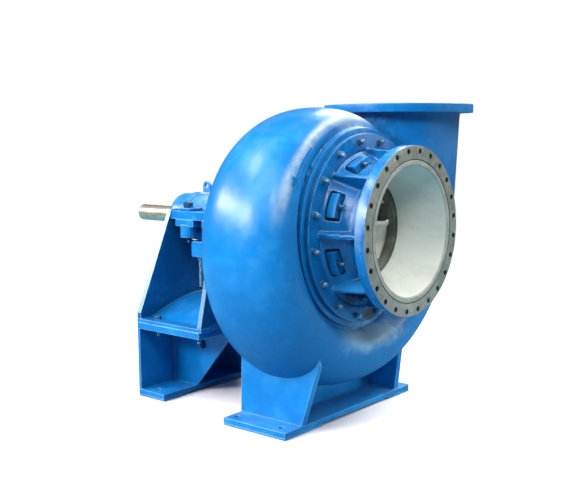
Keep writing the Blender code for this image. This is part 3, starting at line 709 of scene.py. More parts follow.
def castTogether(obj, voxel, passes):    # one skin over all parts, then soft fillets
    addStep(obj, "cast", "REMESH", mode="VOXEL", voxel_size=voxel, adaptivity=0.0)
    if passes:
        addStep(obj, "fillet", "SMOOTH", factor=0.5, iterations=passes)
    evaluated(obj)


def setMaterials(obj, *materials):
    obj.data.materials.clear()
    for mat in materials:
        obj.data.materials.append(mat)


def paintFaces(obj, rule):
    mesh = obj.data
    centres = np.empty(len(mesh.polygons) * 3)
    normals = np.empty(len(mesh.polygons) * 3)
    mesh.polygons.foreach_get("center", centres)
    mesh.polygons.foreach_get("normal", normals)
    x, y, z = centres.reshape(-1, 3).T
    index = rule(x, y, z, np.hypot(x, z - axisZ), normals.reshape(-1, 3))
    mesh.polygons.foreach_set("material_index", index.astype(np.int32))
    mesh.update()


def roundCorners(outline, radius, steps=3):
    count = len(outline)
    made = []
    for k in range(count):
        here = Vector(outline[k])
        before = Vector(outline[k - 1]) - here
        after = Vector(outline[(k + 1) % count]) - here
        if math.pi - before.angle(after) < math.radians(14):    # too blunt to round
            made.append(tuple(here))
            continue
        reach = min(radius, before.length * 0.45, after.length * 0.45)
        start = here + before.normalized() * reach
        end = here + after.normalized() * reach
        for i in range(steps + 1):
            t = i / steps
            made.append(tuple((1 - t) ** 2 * start + 2 * t * (1 - t) * here + t ** 2 * end))
    return made


def aboutShaft(radius, degrees, y):
    angle = math.radians(degrees)
    return (radius * math.sin(angle), y, axisZ + radius * math.cos(angle))


def uprightAt(x, y):
    def point(radius, degrees, z):
        angle = math.radians(degrees)
        return (x + radius * math.sin(angle), y + radius * math.cos(angle), z)
    return point


def lathe(name, outline, materials=(), segments=96, point=aboutShaft, solid=False, soften=0.0):
    if soften:
        outline = roundCorners(outline, soften)
    count = len(outline)
    verts = [point(radius, 360.0 * (step + 0.5) / segments, along)
             for step in range(segments) for radius, along in outline]
    faces = []
    for step in range(segments):
        following = (step + 1) % segments
        for k in range(count - 1 if solid else count):
            after = (k + 1) % count
            faces.append((step * count + k, step * count + after,
                          following * count + after, following * count + k))
    if solid:    # closed with a disc at each end, where an open outline would leave a hole
        faces.append([step * count for step in range(segments)])
        faces.append([step * count + count - 1 for step in range(segments)])
    return addPiece(name, verts, faces, materials)


def drum(radii, ys, segments=160):
    return lathe("drum", list(zip(radii, ys)), segments=segments, solid=True)


def tubeFaces(rings, sides):    # both ends closed
    faces = [list(range(sides)), list(range((rings - 1) * sides, rings * sides))]
    for a in range(0, (rings - 1) * sides, sides):
        for k in range(sides):
            after = (k + 1) % sides
            faces.append((a + k, a + after, a + sides + after, a + sides + k))
    return faces


def ringVerts(middle, size, side, other, sides, turn=0.0):
    angles = [2 * math.pi * k / sides + turn for k in range(sides)]
    return [middle + size * (math.cos(a) * side + math.sin(a) * other) for a in angles]


def tubeMesh(base, axis, side, rings, sides, turn=0.0):
    verts = []
    for along, size in rings:
        verts += ringVerts(base + axis * along, size, side, axis.cross(side), sides, turn)
    return verts, tubeFaces(len(rings), sides)


def barMesh(start, end, radius, sides=16, cap=0.0):
    start = Vector(start)
    axis = Vector(end) - start
    length = axis.length
    axis.normalize()
    rings = [(0.0, radius), (length, radius)]
    if cap:
        rings = [(0.0, radius - cap), (cap, radius), (length - cap, radius),
                 (length, radius - cap)]
    return tubeMesh(start, axis, axis.orthogonal().normalized(), rings, sides, math.pi / sides)


def boxMesh(low, high):
    verts = [(x, y, z) for z in (low[2], high[2]) for y in (low[1], high[1])
             for x in (low[0], high[0])]
    return verts, [(0, 2, 3, 1), (4, 5, 7, 6), (0, 1, 5, 4), (2, 6, 7, 3), (0, 4, 6, 2),
                   (1, 3, 7, 5)]


def wedgeMesh(middleDeg, halfDeg, radii, ys, arcs=8):
    turns = [middleDeg - halfDeg + 2 * halfDeg * k / arcs for k in range(arcs + 1)]
    outline = [(radii[1], turn) for turn in turns] + [(radii[0], turn) for turn in turns[::-1]]
    return [aboutShaft(r, a, y) for y in ys for r, a in outline], tubeFaces(2, len(outline))


def gather(shapes):
    verts = []
    faces = []
    for someVerts, someFaces, *_ in shapes:
        first = len(verts)
        verts += [tuple(v) for v in someVerts]
        faces += [[first + k for k in face] for face in someFaces]
    return verts, faces


def ridePump(obj, slot, *nodes):
    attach(obj, "pump")
    if nodes:
        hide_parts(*nodes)


def rideRotor(obj, slot, *nodes):
    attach(obj, "rotor")
    if nodes:
        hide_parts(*nodes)


# What both flanges share

flangeSettings = {
    "radius": 0.5064,
    "holes": 24,
    "circle": 0.475,
    "holeRadius": 0.0165,
}


def flangeHoles(point, low, high):
    s = flangeSettings
    turns = [360.0 * (k + 0.5) / s["holes"] for k in range(s["holes"])]
    shapes = [barMesh(point(s["circle"], turn, low), point(s["circle"], turn, high),
                      s["holeRadius"], 20) for turn in turns]
    return addPiece("holes", *gather(shapes))


def inHoles(first, second):
    s = flangeSettings
    step = 2 * math.pi / s["holes"]
    turn = np.arctan2(first, second) / step - 0.5
    aside = (turn - np.round(turn)) * step * s["circle"]
    return np.hypot(aside, np.hypot(first, second) - s["circle"]) < s["holeRadius"] + 0.0015


# Casing: the scroll, its neck and the discharge flange

casingSettings = {
    # angle anticlockwise from the top, crown radius, front crest radius and y, rear crest radius
    # and y
    "scroll": (
        (-50, 0.628, 0.620, -0.205, 0.560, 0.225),
        (0, 0.728, 0.630, -0.215, 0.580, 0.320),
        (45, 0.818, 0.660, -0.250, 0.545, 0.400),
        (90, 0.930, 0.700, -0.300, 0.571, 0.404),
        (140, 1.010, 0.715, -0.358, 0.640, 0.408),
        (185, 1.012, 0.720, -0.368, 0.688, 0.397),
        (230, 1.068, 0.740, -0.366, 0.725, 0.391),
        (272, 1.163, 0.774, -0.388, 0.774, 0.390),
    ),
    "power": 2.26,             # 2 is round, more is squarer
    "middleY": 0.022,
    "seatY": (-0.205, 0.215),
    # from and to in degrees, rows, how far outside the sizes above, inner radius, points
    "body": {"first": -50, "last": 272, "steps": 130, "offset": 0.0, "inner": 0.45,
             "quarter": 14, "slope": 8},
    "hollow": {"first": -14, "last": 272, "steps": 80, "offset": -0.040, "inner": 0.50,
               "quarter": 8, "slope": 5},
    "boss": (0.612, -0.255),    # radius and y
    "rearBoss": (0.500, 0.260),
    "clear": 0.60,              # beyond the casing on either side
    "lip": (0.545, -0.190),
    "neck": ((0.385, 1.177), (0.417, 1.889), (0.430, 1.934)),
    "bore": ((0.345, 1.177), (0.386, 1.862), (0.386, 2.012)),
    "mouth": ((0.386, 1.93), (0.386, 1.957), (0.391, 1.962), (0.391, 1.99)),
    "flangeZ": (1.906, topZ),
    "holeZ": (1.86, 2.01),
    # radius of a cut and where it starts and ends
    "seatWall": (0.635, -0.60, -0.215),
    "chamber": (0.5575, -0.30, 0.165),
    "rearOpening": (0.420, 0.10, 0.32),
    "voxel": 0.0125,
    "fillet": 10,
    "hollowVoxel": 0.025,
    "hollowFillet": 4,
}


def scrollSizes(theta):
    rows = casingSettings["scroll"]
    index = 0
    while index < len(rows) - 2 and theta > rows[index + 1][0]:
        index += 1
    first, second = rows[index], rows[index + 1]
    before = rows[index - 1] if index > 0 else first
    after = rows[index + 2] if index + 2 < len(rows) else second
    span = second[0] - first[0]
    t = (theta - first[0]) / span
    sizes = []
    for k in range(1, 6):
        slopeA = (second[k] - before[k]) / (second[0] - before[0])
        slopeB = (after[k] - first[k]) / (after[0] - first[0])
        sizes.append((2 * t**3 - 3 * t**2 + 1) * first[k] + (t**3 - 2 * t**2 + t) * span * slopeA
                     + (3 * t**2 - 2 * t**3) * second[k] + (t**3 - t**2) * span * slopeB)
    return sizes


def scrollSection(theta, offset, inner, quarter, slope):
    s = casingSettings
    crown, frontR, frontY, rearR, rearY = scrollSizes(theta)
    middle = s["middleY"] * max(0.0, min(1.0, (272 - theta) / 80.0))
    crown += offset
    power = 2 / s["power"]
    sides = ((s["boss"][0], s["seatY"][0] - offset, frontR, frontY - offset),
             (s["rearBoss"][0], s["seatY"][1] + offset, rearR, rearY + offset))
    halves = []
    for boss, seat, crestR, crestY in sides:    # each from the seat over the crest to the crown
        start = boss - 0.004
        points = [(inner, seat)]
        for k in range(slope):
            t = k / slope
            points.append((start + (crestR - start) * t,
                           seat + (crestY - seat) * t * t * (3 - 2 * t)))
        for k in range(quarter + 1):
            angle = math.pi / 2 * k / quarter
            points.append((crestR + (crown - crestR) * math.sin(angle) ** power,
                           middle + (crestY - middle) * max(0.0, math.cos(angle)) ** power))
        halves.append(points)
    return halves[0][:-1] + halves[1][::-1]


def scrollBody(first, last, steps, offset, inner, quarter, slope):
    verts = []
    for step in range(steps + 1):
        theta = first + (last - first) * step / steps
        points = scrollSection(theta, offset, inner, quarter, slope)
        verts += [aboutShaft(radius, -theta, y) for radius, y in points]
    return addPiece("scroll", verts, tubeFaces(steps + 1, len(points)))


arrowSettings = {
    "radius": (0.700, 0.745),
    "tailDeg": -45.0,
    "neckDeg": -63.0,
    "tipDeg": -69.0,
    "stem": 0.008,
    "head": 0.027,
    "proud": 0.0065,
    "sunk": -0.004,
    "slant": 0.003,
    "rows": 20,
    "headRows": 6,
}


def castArrow(casing):
    s = arrowSettings
    tail, neck, tip = s["tailDeg"], s["neckDeg"], s["tipDeg"]
    rows = [(tail + (neck - tail) * k / s["rows"], s["stem"]) for k in range(s["rows"] + 1)]
    rows += [(neck + (tip - neck) * k / s["headRows"], s["head"] * (1.02 - k / s["headRows"]))
             for k in range(s["headRows"] + 1)]
    bpy.context.view_layer.update()
    verts = []
    for degrees, half in rows:
        foot = half + s["slant"]
        run = (degrees - tail) / (tip - tail)
        radius = s["radius"][0] * (1 - run) + s["radius"][1] * run
        for across, lift in ((-foot, s["sunk"]), (-half, s["proud"]), (half, s["proud"]),
                             (foot, s["sunk"])):
            start = aboutShaft(radius + across, degrees, -casingSettings["clear"])
            _, spot, normal, _ = casing.ray_cast(start, (0.0, 1.0, 0.0))
            verts.append(spot + normal * lift)
    faces = tubeFaces(len(rows), 4)
    faces[1] = faces[1][::-1]
    arrow = addPiece("rotation_arrow", verts, faces, [coverPaint], 50.0)
    ridePump(arrow, "blue_paint")


def buildCasing():
    s = casingSettings
    neckPoint = uprightAt(neckX, 0.0)
    bossR, bossY = s["boss"]
    rearR, rearY = s["rearBoss"]
    low, high = s["flangeZ"]
    rim = flangeSettings["radius"]
    body = scrollBody(**s["body"])
    core = lathe("core", [(0.40, bossY + 0.004), (bossR - 0.006, bossY + 0.004),
                          (bossR - 0.006, 0.20), (rearR, 0.21), (rearR, rearY), (0.40, rearY)],
                 segments=160)
    neck = lathe("neck", s["neck"], segments=128, point=neckPoint, solid=True)
    casing = joinMeshes("casing_casting", [body, core, neck])
    castTogether(casing, s["voxel"], s["fillet"])
    for vert in casing.data.vertices:
        vert.co.x = max(vert.co.x, cadBox[0][0] - origin.x)
    carve(casing, drum((bossR - 0.010,) * 2, (-s["clear"], bossY + 0.002)))
    carve(casing, drum((rearR,) * 2, (rearY, s["clear"])))
    lipR, lipY = s["lip"]
    lip = [(lipR, lipY), (bossR, lipY), (bossR, bossY), (lipR, bossY)]
    carve(casing, lathe("lip", lip, segments=192, soften=0.006), "UNION")
    flange = [(0.30, low), (rim, low), (rim, high), (0.30, high)]
    carve(casing, lathe("flange", flange, segments=160, point=neckPoint, soften=0.004), "UNION")
    scrollHollow = scrollBody(**s["hollow"])
    neckHollow = lathe("neckHollow", s["bore"], point=neckPoint, solid=True)
    radius, *ys = s["seatWall"]
    carve(neckHollow, drum((radius, radius), ys))
    hollow = joinMeshes("hollow", [scrollHollow, neckHollow])
    castTogether(hollow, s["hollowVoxel"], s["hollowFillet"])
    passage = BVHTree.FromPolygons([vert.co for vert in hollow.data.vertices],
                                   [face.vertices for face in hollow.data.polygons])
    carve(casing, hollow)
    for radius, *ys in (s["chamber"], s["rearOpening"]):
        carve(casing, drum((radius, radius), ys))
    carve(casing, lathe("mouth", s["mouth"], segments=160, point=neckPoint, solid=True))
    carve(casing, flangeHoles(neckPoint, *s["holeZ"]))
    setMaterials(casing, castPaint, rawIron, topFace, holeShade)

    def finish(x, y, z, fromShaft, normals):
        fromNeck = np.hypot(x - neckX, y)
        top = (z > high - 0.0005) & (normals[:, 2] > 0.9)
        outerRim = (z > low - 0.001) & (fromNeck > 0.43)
        inBore = (fromNeck < 0.392) & (z > 1.60) & ~top
        inSeat = (fromShaft < 0.559) & (y > bossY + 0.002) & (y < 0.2)
        inPassage = [passage.find_nearest(spot, 0.002)[0] is not None for spot in zip(x, y, z)]
        raw = (inBore | inSeat | np.array(inPassage)) & ~outerRim
        # painted shade in the flange's bolt holes
        drilled = inHoles(x - neckX, y) & (z > 1.90) & ~top & (np.abs(normals[:, 2]) < 0.5)
        return np.where(top, 2, np.where(drilled, 3, np.where(raw, 1, 0)))

    paintFaces(casing, finish)
    shadeSoft(casing, 38.0)
    castArrow(casing)
    ridePump(casing, "blue_paint", "volute_casing")


buildCasing()
print("casing cast")


# Front cover: bolted ring, ribbed barrel with its windows, suction flange

windowDegs = [45.0 * k + 22.5 for k in range(8)]

coverSettings = {
    "flangeY": (faceY, -0.551),
    "flangeBore": (0.4255, 0.430, -0.590),    # radius in front and behind, y of its inner edge
    "holeY": (-0.70, -0.50),
    # radius and y, round each section
    "ring": ((0.440, -0.210), (0.550, -0.210), (0.550, -0.2553), (0.578, -0.2553),
             (0.578, -0.285), (0.484, -0.285), (0.484, -0.268), (0.440, -0.268)),
    "barrel": (
        (0.500, -0.262), (0.500, -0.280), (0.479, -0.280), (0.477, -0.270), (0.466, -0.275),
        (0.375, -0.427), (0.375, -0.440), (0.412, -0.520), (0.436, -0.545), (0.462, -0.556),
        (0.470, -0.565), (0.470, -0.590), (0.404, -0.590), (0.404, -0.551), (0.3525, -0.440),
        (0.3525, -0.420), (0.436, -0.290), (0.440, -0.262)),
    "rib": ((0.452, -0.276), (0.490, -0.276), (0.468, -0.561), (0.430, -0.561), (0.365, -0.440),
            (0.365, -0.420)),
    "ribThickness": 0.026,
    "windowHalfDeg": 11.3,
    "windowRadius": (0.30, 0.56),
    "windowY": (-0.372, -0.294),
    "soften": 0.003,
    "voxel": 0.0062,
    "fillet": 3,
}


def ribMesh(degrees, outline, thickness):
    angle = math.radians(degrees)
    out = Vector((math.sin(angle), 0.0, math.cos(angle)))
    side = Vector((math.cos(angle), 0.0, -math.sin(angle)))
    base = Vector((0.0, 0.0, axisZ))
    verts = [base + radius * out + sign * thickness * side + Vector((0.0, y, 0.0))
             for sign in (-0.5, 0.5) for radius, y in outline]
    return verts, tubeFaces(2, len(outline))


def buildCover():
    s = coverSettings
    front, back = s["flangeY"]
    parts = [lathe("barrel", s["barrel"], segments=160)]
    for degrees in windowDegs:    # the ribs stand midway between the windows
        parts.append(addPiece("rib", *ribMesh(degrees - 22.5, s["rib"], s["ribThickness"])))
    cover = joinMeshes("front_cover_casting", parts)
    castTogether(cover, s["voxel"], 0)
    shapes = [wedgeMesh(degrees, s["windowHalfDeg"], s["windowRadius"], s["windowY"])
              for degrees in windowDegs]
    carve(cover, addPiece("windows", *gather(shapes)))
    castTogether(cover, s["voxel"], s["fillet"])
    rim = flangeSettings["radius"]
    boreR, stepR, edgeY = s["flangeBore"]
    flange = ((boreR, front), (rim, front), (rim, back), (stepR, back), (boreR, edgeY))
    for section in (s["ring"], flange):
        carve(cover, lathe("section", section, segments=192, soften=s["soften"]), "UNION")
    carve(cover, flangeHoles(aboutShaft, *s["holeY"]))
    setMaterials(cover, coverPaint, flangeFace, holeShade)

    def finish(x, y, z, fromShaft, normals):
        face = (y < front + 0.0006) & (normals[:, 1] < -0.9)
        edgeOn = (np.abs(normals[:, 1]) < 0.5) & (y < back - 0.001)
        # painted shade in the bolt holes and in the gap round the liner
        gap = (fromShaft < 0.4275) & (y < -0.570)
        return np.where(face, 1, np.where((inHoles(x, z - axisZ) & edgeOn) | gap, 2, 0))

    paintFaces(cover, finish)
    shadeSoft(cover, 38.0)
    ridePump(cover, "blue_paint", "front_cover")


buildCover()
print("front cover made")


# Throat liner with its adjusting lugs

linerSettings = {
    "profile": (
        (0.389, faceY + 0.006), (0.395, faceY), (0.4212, faceY), (0.4212, -0.5853),
        (0.398, -0.5853), (0.396, -0.551), (0.3475, -0.440), (0.3475, -0.362), (0.386, -0.362),
        (0.386, -0.303), (0.360, -0.303), (0.360, -0.2047), (0.548, -0.2047), (0.548, -0.165),
        (0.335, -0.165), (0.335, -0.310), (0.302, -0.310)),
    "soften": 0.0025,
    "lugRadius": (0.370, 0.452),
    "lugY": (-0.362, -0.303),
    "lugHalfDeg": 9.5,
    "lugRound": (0.004, 3),
    "studRadius": 0.433,
}


def buildLiner():
    s = linerSettings
    liner = lathe("liner", s["profile"], segments=192, soften=s["soften"])
    shapes = [wedgeMesh(degrees, s["lugHalfDeg"], s["lugRadius"], s["lugY"])
              for degrees in windowDegs]
    lugs = addPiece("lugs", *gather(shapes))
    roundEdges(lugs, *s["lugRound"])
    carve(liner, lugs, "UNION")
    setMaterials(liner, linerPaint, linerFace, castPaint, holeShade)

    def finish(x, y, z, fromShaft, normals):
        face = y < faceY + 0.0075
        outside = (fromShaft > 0.346) & (y > -0.585) & (y < -0.25)
        # painted shade in the gap between liner and cover
        gap = (fromShaft > 0.4206) & (y < -0.58) & (np.abs(normals[:, 1]) < 0.5)
        return np.where(gap, 3, np.where(face, 1, np.where(outside, 2, 0)))

    paintFaces(liner, finish)
    shadeSoft(liner, 35.0)
    ridePump(liner, "pale_liner", "throat_liner")


buildLiner()
print("liner made")


# Impeller and shaft, which turn

impellerSettings = {
    "radius": 0.540,
    # radius and y
    "hub": ((0.090, 0.150), (0.540, 0.150), (0.540, 0.118), (0.300, 0.112), (0.180, 0.095),
            (0.115, 0.050), (0.075, -0.010), (0.035, -0.052), (0.012, -0.060)),
    "shroud": ((0.292, -0.300), (0.326, -0.300), (0.326, -0.168), (0.345, -0.152),
               (0.540, -0.148), (0.540, -0.120), (0.350, -0.122), (0.302, -0.150)),
    "lip": ((0.2855, -0.302), (0.3255, -0.302), (0.3255, -0.240), (0.2855, -0.240)),
    # start radius and bend of a vane's edge, its y and how far it dips at the start and how fast
    "vaneEdges": ((0.300, 1.5, -0.134, -0.136, 6), (0.070, 1.0, 0.130, -0.125, 5)),
    "vaneHalf": (0.011, 0.007),
    "vanes": 5,
    "firstDeg": 87.0,
    "wrapDeg": 86.0,
    "steps": 26,
    "voxel": 0.0085,
    "fillet": 3,
    # painted shade on each channel's wall begins this far past this angle
    "shadeBaseDeg": 88.0,
    "shadeAfterDeg": 48.0,
}


def vaneMesh(start):
    s = impellerSettings
    verts = []
    for index in range(s["steps"] + 1):
        t = index / s["steps"]
        middle = start + s["wrapDeg"] * t ** 0.9
        half = s["vaneHalf"][0] + s["vaneHalf"][1] * math.sin(math.pi * min(1.0, t + 0.15))
        edges = [(first + (s["radius"] - 0.006 - first) * t ** bend, y + dip * (1 - t) ** power)
                 for first, bend, y, dip, power in s["vaneEdges"]]
        verts += [aboutShaft(radius, middle + math.degrees(side * half / radius), y)
                  for side in (-1, 1) for radius, y in edges]
    last = s["steps"] * 4
    faces = [(0, 1, 3, 2), (last, last + 1, last + 3, last + 2)]
    for a in range(0, last, 4):
        faces += [(a + k, a + after, a + 4 + after, a + 4 + k)
                  for k, after in ((0, 1), (2, 3), (0, 2), (1, 3))]
    return verts, faces


def buildImpeller():
    s = impellerSettings
    pitch = 360.0 / s["vanes"]
    parts = [lathe("hub", s["hub"], solid=True), lathe("shroud", s["shroud"])]
    parts += [addPiece("vane", *vaneMesh(s["firstDeg"] + pitch * number))
              for number in range(s["vanes"])]
    impeller = joinMeshes("impeller_casting", parts)
    castTogether(impeller, s["voxel"], s["fillet"])
    carve(impeller, lathe("lip", s["lip"], segments=160, soften=0.003), "UNION")
    setMaterials(impeller, impellerIron, eyeIron, innerShade)

    def finish(x, y, z, fromShaft, normals):
        outward = (x * normals[:, 0] + (z - axisZ) * normals[:, 2]) / fromShaft
        lip = (fromShaft < 0.328) & (fromShaft > 0.283) & (y < -0.258)
        wall = (fromShaft < 0.345) & (y < -0.140) & (outward < -0.85)
        swept = (np.degrees(np.arctan2(x, z - axisZ)) - s["shadeBaseDeg"]) % pitch
        # painted shade: the hub's face and part of each channel's wall are painted darker
        shadedInside = (wall & (swept > s["shadeAfterDeg"])) | ((y > -0.060) & (normals[:, 1] < -0.75))
        return np.where(lip | (wall & (y < -0.235)), 1, np.where(shadedInside, 2, 0))

    paintFaces(impeller, finish)
    shadeSoft(impeller, 40.0)
    rideRotor(impeller, "grey_iron", "impeller")


shaftSettings = {
    # radius and y, with a pinhole along the axis that keeps the lathe's ends closed
    "profile": (
        (0.0004, 0.1503), (0.088, 0.1503), (0.088, 0.238), (0.086, 0.240), (0.070, 0.243),
        (0.070, 1.288), (0.068, 1.290), (0.0575, 1.294), (0.0575, 1.750), (0.053, 1.755),
        (0.0004, 1.755)),
    "centreHole": ((0.0004, 1.735), (0.005, 1.742), (0.012, 1.760), (0.0004, 1.760)),
    "keyHalf": 0.016,
    "keyY": (1.516, 1.735),
    "keyUp": (0.0455, 0.09),    # floor of the slot and top of its cutter, above the axis
}


def buildShaft():
    s = shaftSettings
    half = s["keyHalf"]
    keyStart, keyEnd = s["keyY"]
    low, high = (axisZ + up for up in s["keyUp"])
    shaft = lathe("main_shaft", s["profile"], segments=64, solid=True)
    carve(shaft, addPiece("keySlot", *boxMesh((-half, keyStart, low), (half, keyEnd, high))))
    slotEnd = ((0.0004, low), (half, low), (half, high), (0.0004, high))
    carve(shaft, lathe("slotEnd", slotEnd, segments=32, point=uprightAt(0.0, keyStart),
                       solid=True))
    carve(shaft, lathe("centreHole", s["centreHole"], segments=32, solid=True))
    setMaterials(shaft, shaftSteel, holeShade)

    def finish(x, y, z, fromShaft, normals):
        # painted shade in the key slot and the centre hole
        slot = (np.abs(x) < half + 0.0002) & (y > 1.49) & (y < 1.7352) & (z > axisZ + 0.0450) \
            & (fromShaft < 0.0570)
        return np.where(slot, 1, 0)

    paintFaces(shaft, finish)
    shadeSoft(shaft, 30.0)
    rideRotor(shaft, "bright_steel", "shaft")


buildImpeller()
buildShaft()
print("rotor made")


# Bearing housing, caps, covers behind the casing

clampYs = (1.045, 0.790)

housingSettings = {
    # radius and y
    "profile": ((0.0712, 0.700), (0.1695, 0.700), (0.1695, 0.722), (0.160, 0.734),
                (0.160, 1.120), (0.1695, 1.132), (0.1695, 1.195), (0.0712, 1.195)),
    "earX": (0.105, 0.262),
    "earZ": (1.2556, 1.276),
    "earHalf": 0.052,
    "earRound": (0.005, 3),
    # node, its finish and slot, and its profile
    "turned": (
        ("drive_end_cap", housingPaint, "blue_paint", (
            (0.078, 1.1955), (0.1620, 1.1955), (0.1620, 1.221), (0.1585, 1.224), (0.1585, 1.290),
            (0.152, 1.310), (0.138, 1.322), (0.112, 1.324), (0.108, 1.318), (0.078, 1.318))),
        ("pump_end_cap", housingPaint, "blue_paint", (
            (0.080, 0.652), (0.146, 0.652), (0.162, 0.662), (0.162, 0.6995), (0.080, 0.6995))),
        ("back_cover", castPaint, "blue_paint", (
            (0.105, 0.1655), (0.4145, 0.1655), (0.4145, 0.2605), (0.489, 0.2605), (0.489, 0.292),
            (0.300, 0.295), (0.290, 0.285), (0.215, 0.285), (0.205, 0.295), (0.105, 0.295))),
        ("seal_housing", castPaint, "blue_paint", (
            (0.098, 0.2955), (0.199, 0.2955), (0.199, 0.321), (0.163, 0.326), (0.159, 0.334),
            (0.159, 0.430), (0.098, 0.430))),
        ("gland", rawIron, "grey_iron", (
            (0.084, 0.4305), (0.149, 0.4305), (0.149, 0.455), (0.112, 0.457), (0.109, 0.475),
            (0.084, 0.475))),
    ),
}


def buildHousing():
    s = housingSettings
    housing = lathe("bearing_housing_casting", s["profile"], segments=128, soften=0.004)
    shapes = []
    for side in (-1, 1):
        for y in clampYs:
            low, high = sorted(side * x for x in s["earX"])
            shapes.append(boxMesh((low, y - s["earHalf"], s["earZ"][0]),
                                  (high, y + s["earHalf"], s["earZ"][1])))
    ears = addPiece("ears", *gather(shapes))
    roundEdges(ears, *s["earRound"])
    carve(housing, ears, "UNION")
    setMaterials(housing, housingPaint)
    shadeSoft(housing, 35.0)
    ridePump(housing, "blue_paint", "bearing_housing")
    for node, mat, slot, profile in s["turned"]:
        piece = lathe(node + "_turned", profile, [mat], 128, soften=0.003)
        ridePump(piece, slot, node)


eyeSettings = {
    "y": 1.080,
    "footZ": 1.3665,
    "middleZ": 1.413,
    "footHalf": 0.036,
    "radius": 0.034,
    "halfThickness": 0.0105,
    "holeZ": 1.416,
    "holeRadius": 0.014,
    "round": (0.003, 2),
}


def buildEye():
    s = eyeSettings
    outline = [(-s["footHalf"], s["footZ"]), (s["footHalf"], s["footZ"])]
    outline += [(s["radius"] * math.cos(math.radians(a)),
                 s["middleZ"] + s["radius"] * math.sin(math.radians(a)))
                for a in range(-20, 201, 10)]
    verts = [(x, s["y"] + a, b) for x in (-s["halfThickness"], s["halfThickness"])
             for a, b in outline]
    eye = addPiece("lifting_eye_plate", verts, tubeFaces(2, len(outline)))
    hole = barMesh((-0.05, s["y"], s["holeZ"]), (0.05, s["y"], s["holeZ"]), s["holeRadius"], 32)
    carve(eye, addPiece("eyeHole", *hole))
    roundEdges(eye, *s["round"])
    setMaterials(eye, housingPaint)
    shadeSoft(eye, 35.0)
    ridePump(eye, "blue_paint", "lifting_eye")


buildHousing()
buildEye()
print("bearing housing made")


# Plates, rails and frames keep their own solids and get soft edges and paint

plateSettings = {
    "plate": (0.0025, 2),    # width and segments of the soft edge
    "cast": (0.012, 4),
    "weldReach": 0.00005,
    "limitDeg": 30.0,
}

plateNodes = [
    "bracket_deck", "bracket_plate_drive", "bracket_plate_pump", "rail_left", "rail_right",
    "side_beam_left", "side_beam_right", "clamp_1", "clamp_2", "clamp_3", "clamp_4",
    "frame_top", "frame_back", "frame_web_left", "frame_web_right", "frame_base",
    "frame_pad_left", "frame_pad_right", "foot_base", "foot_pad_left", "foot_pad_right",
    "foot_plate_left", "foot_plate_right", "foot_web",
    "distance_bar_1", "distance_bar_2", "distance_bar_3", "distance_bar_4",
]


def dressPlates():
    s = plateSettings
    for name in plateNodes:
        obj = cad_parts[name]
        paint = framePaint
        if name.startswith("foot"):
            paint = footPaint
        elif name.startswith("bracket_plate"):
            paint = bracketPaint
        setMaterials(obj, paint)
        width, segments = s["cast" if name.startswith(("clamp_", "side_beam_")) else "plate"]
        addStep(obj, "merge", "WELD", merge_threshold=s["weldReach"])
        addStep(obj, "soft", "BEVEL", width=width, segments=segments, limit_method="ANGLE",
                angle_limit=math.radians(s["limitDeg"]), use_clamp_overlap=True,
                harden_normals=False)


dressPlates()
print("plates painted")


# Nuts, studs and bolts

boltSettings = {
    # count, circle, y, direction, width across flats, length of stud, phase in degrees, seed
    "cover": (16, 0.537, -0.285, -1, 0.036, 0.018, 12.85, 3),
    "backCover": (12, 0.455, 0.293, 1, 0.036, 0.016, 15.0, 4),
    "seal": (8, 0.181, 0.3225, 1, 0.024, 0.010, 0.0, 5),
    "driveCap": (8, 0.126, 1.3235, 1, 0.019, 0.0, 22.5, 6),
    # width across flats, length of stud, turn of the nut in degrees
    "window": (0.030, 0.028, 12.0),
    "gland": (0.024, 0.030),
    "clamp": (0.036, 0.012),
    "beam": (0.036, 0.0),
    "deckTop": (0.036, 0.0, 10.0),
    "deckUnder": (0.036, 0.020, 20.0),
    "glandAt": (0.133, 0.455),                # circle and y
    "clampX": 0.225,
    "clampZ": (1.2755, 1.2812, 1.0752),       # washer, square head, nut below
    "clampWasher": (0.031, 0.006),
    "clampHead": (0.046, 0.036, 4, 45.0),
    "beamAt": (0.228, 0.930),
    "beamZ": (0.9452, 0.925),                 # nut and thread
    "beamThread": (0.014, 0.185),
    "deckX": 0.498,
    "deckYs": (1.075, 0.690),
    "deckZ": (0.5398, 0.4702),                # on top and below
    # painted shade: thin dark discs that stand for holes in the deck, and a dark strip for the
    # shadow line between deck and frame
    "holeShadeSpots": ((-0.416, 0.852, 0.5396), (-0.453, 0.743, 0.5396)),
    "holeShadeSize": (0.010, 0.0012),
    "gapShadeBox": ((-0.5672, 0.800, 0.5045), (-0.5640, 0.925, 0.5085)),
}


def prismMesh(base, axis, across, height, sides=6, turnDeg=0.0, chamfer=0.12):
    base = Vector(base)
    axis = Vector(axis).normalized()
    side = Vector((0.0, 0.0, 1.0)) if abs(axis.z) < 0.9 else Vector((1.0, 0.0, 0.0))
    side = (side - axis * side.dot(axis)).normalized()
    radius = across / 2 / math.cos(math.pi / sides)
    cut = height * chamfer
    rings = [(0.0, radius * 0.96), (cut * 0.6, radius), (height - cut, radius),
             (height, radius * 0.86)]
    return tubeMesh(base, axis, side, rings, sides, math.radians(turnDeg))


def threadMesh(base, axis, radius, length, sides=14, pitch=0.004):
    axis = Vector(axis).normalized()
    rings = [(0.0, radius)]
    count = max(2, int(length / pitch))
    for k in range(count):
        at = length * k / count
        rings += [(at + length * 0.25 / count, radius), (at + length * 0.75 / count, radius * 0.90)]
    rings += [(length * 0.97, radius * 0.93), (length, radius * 0.78)]
    return tubeMesh(Vector(base), axis, axis.orthogonal().normalized(), rings, sides)


def washerMesh(base, axis, radius, height):
    base = Vector(base)
    return barMesh(base, base + Vector(axis) * height, radius, 24, height * 0.3)


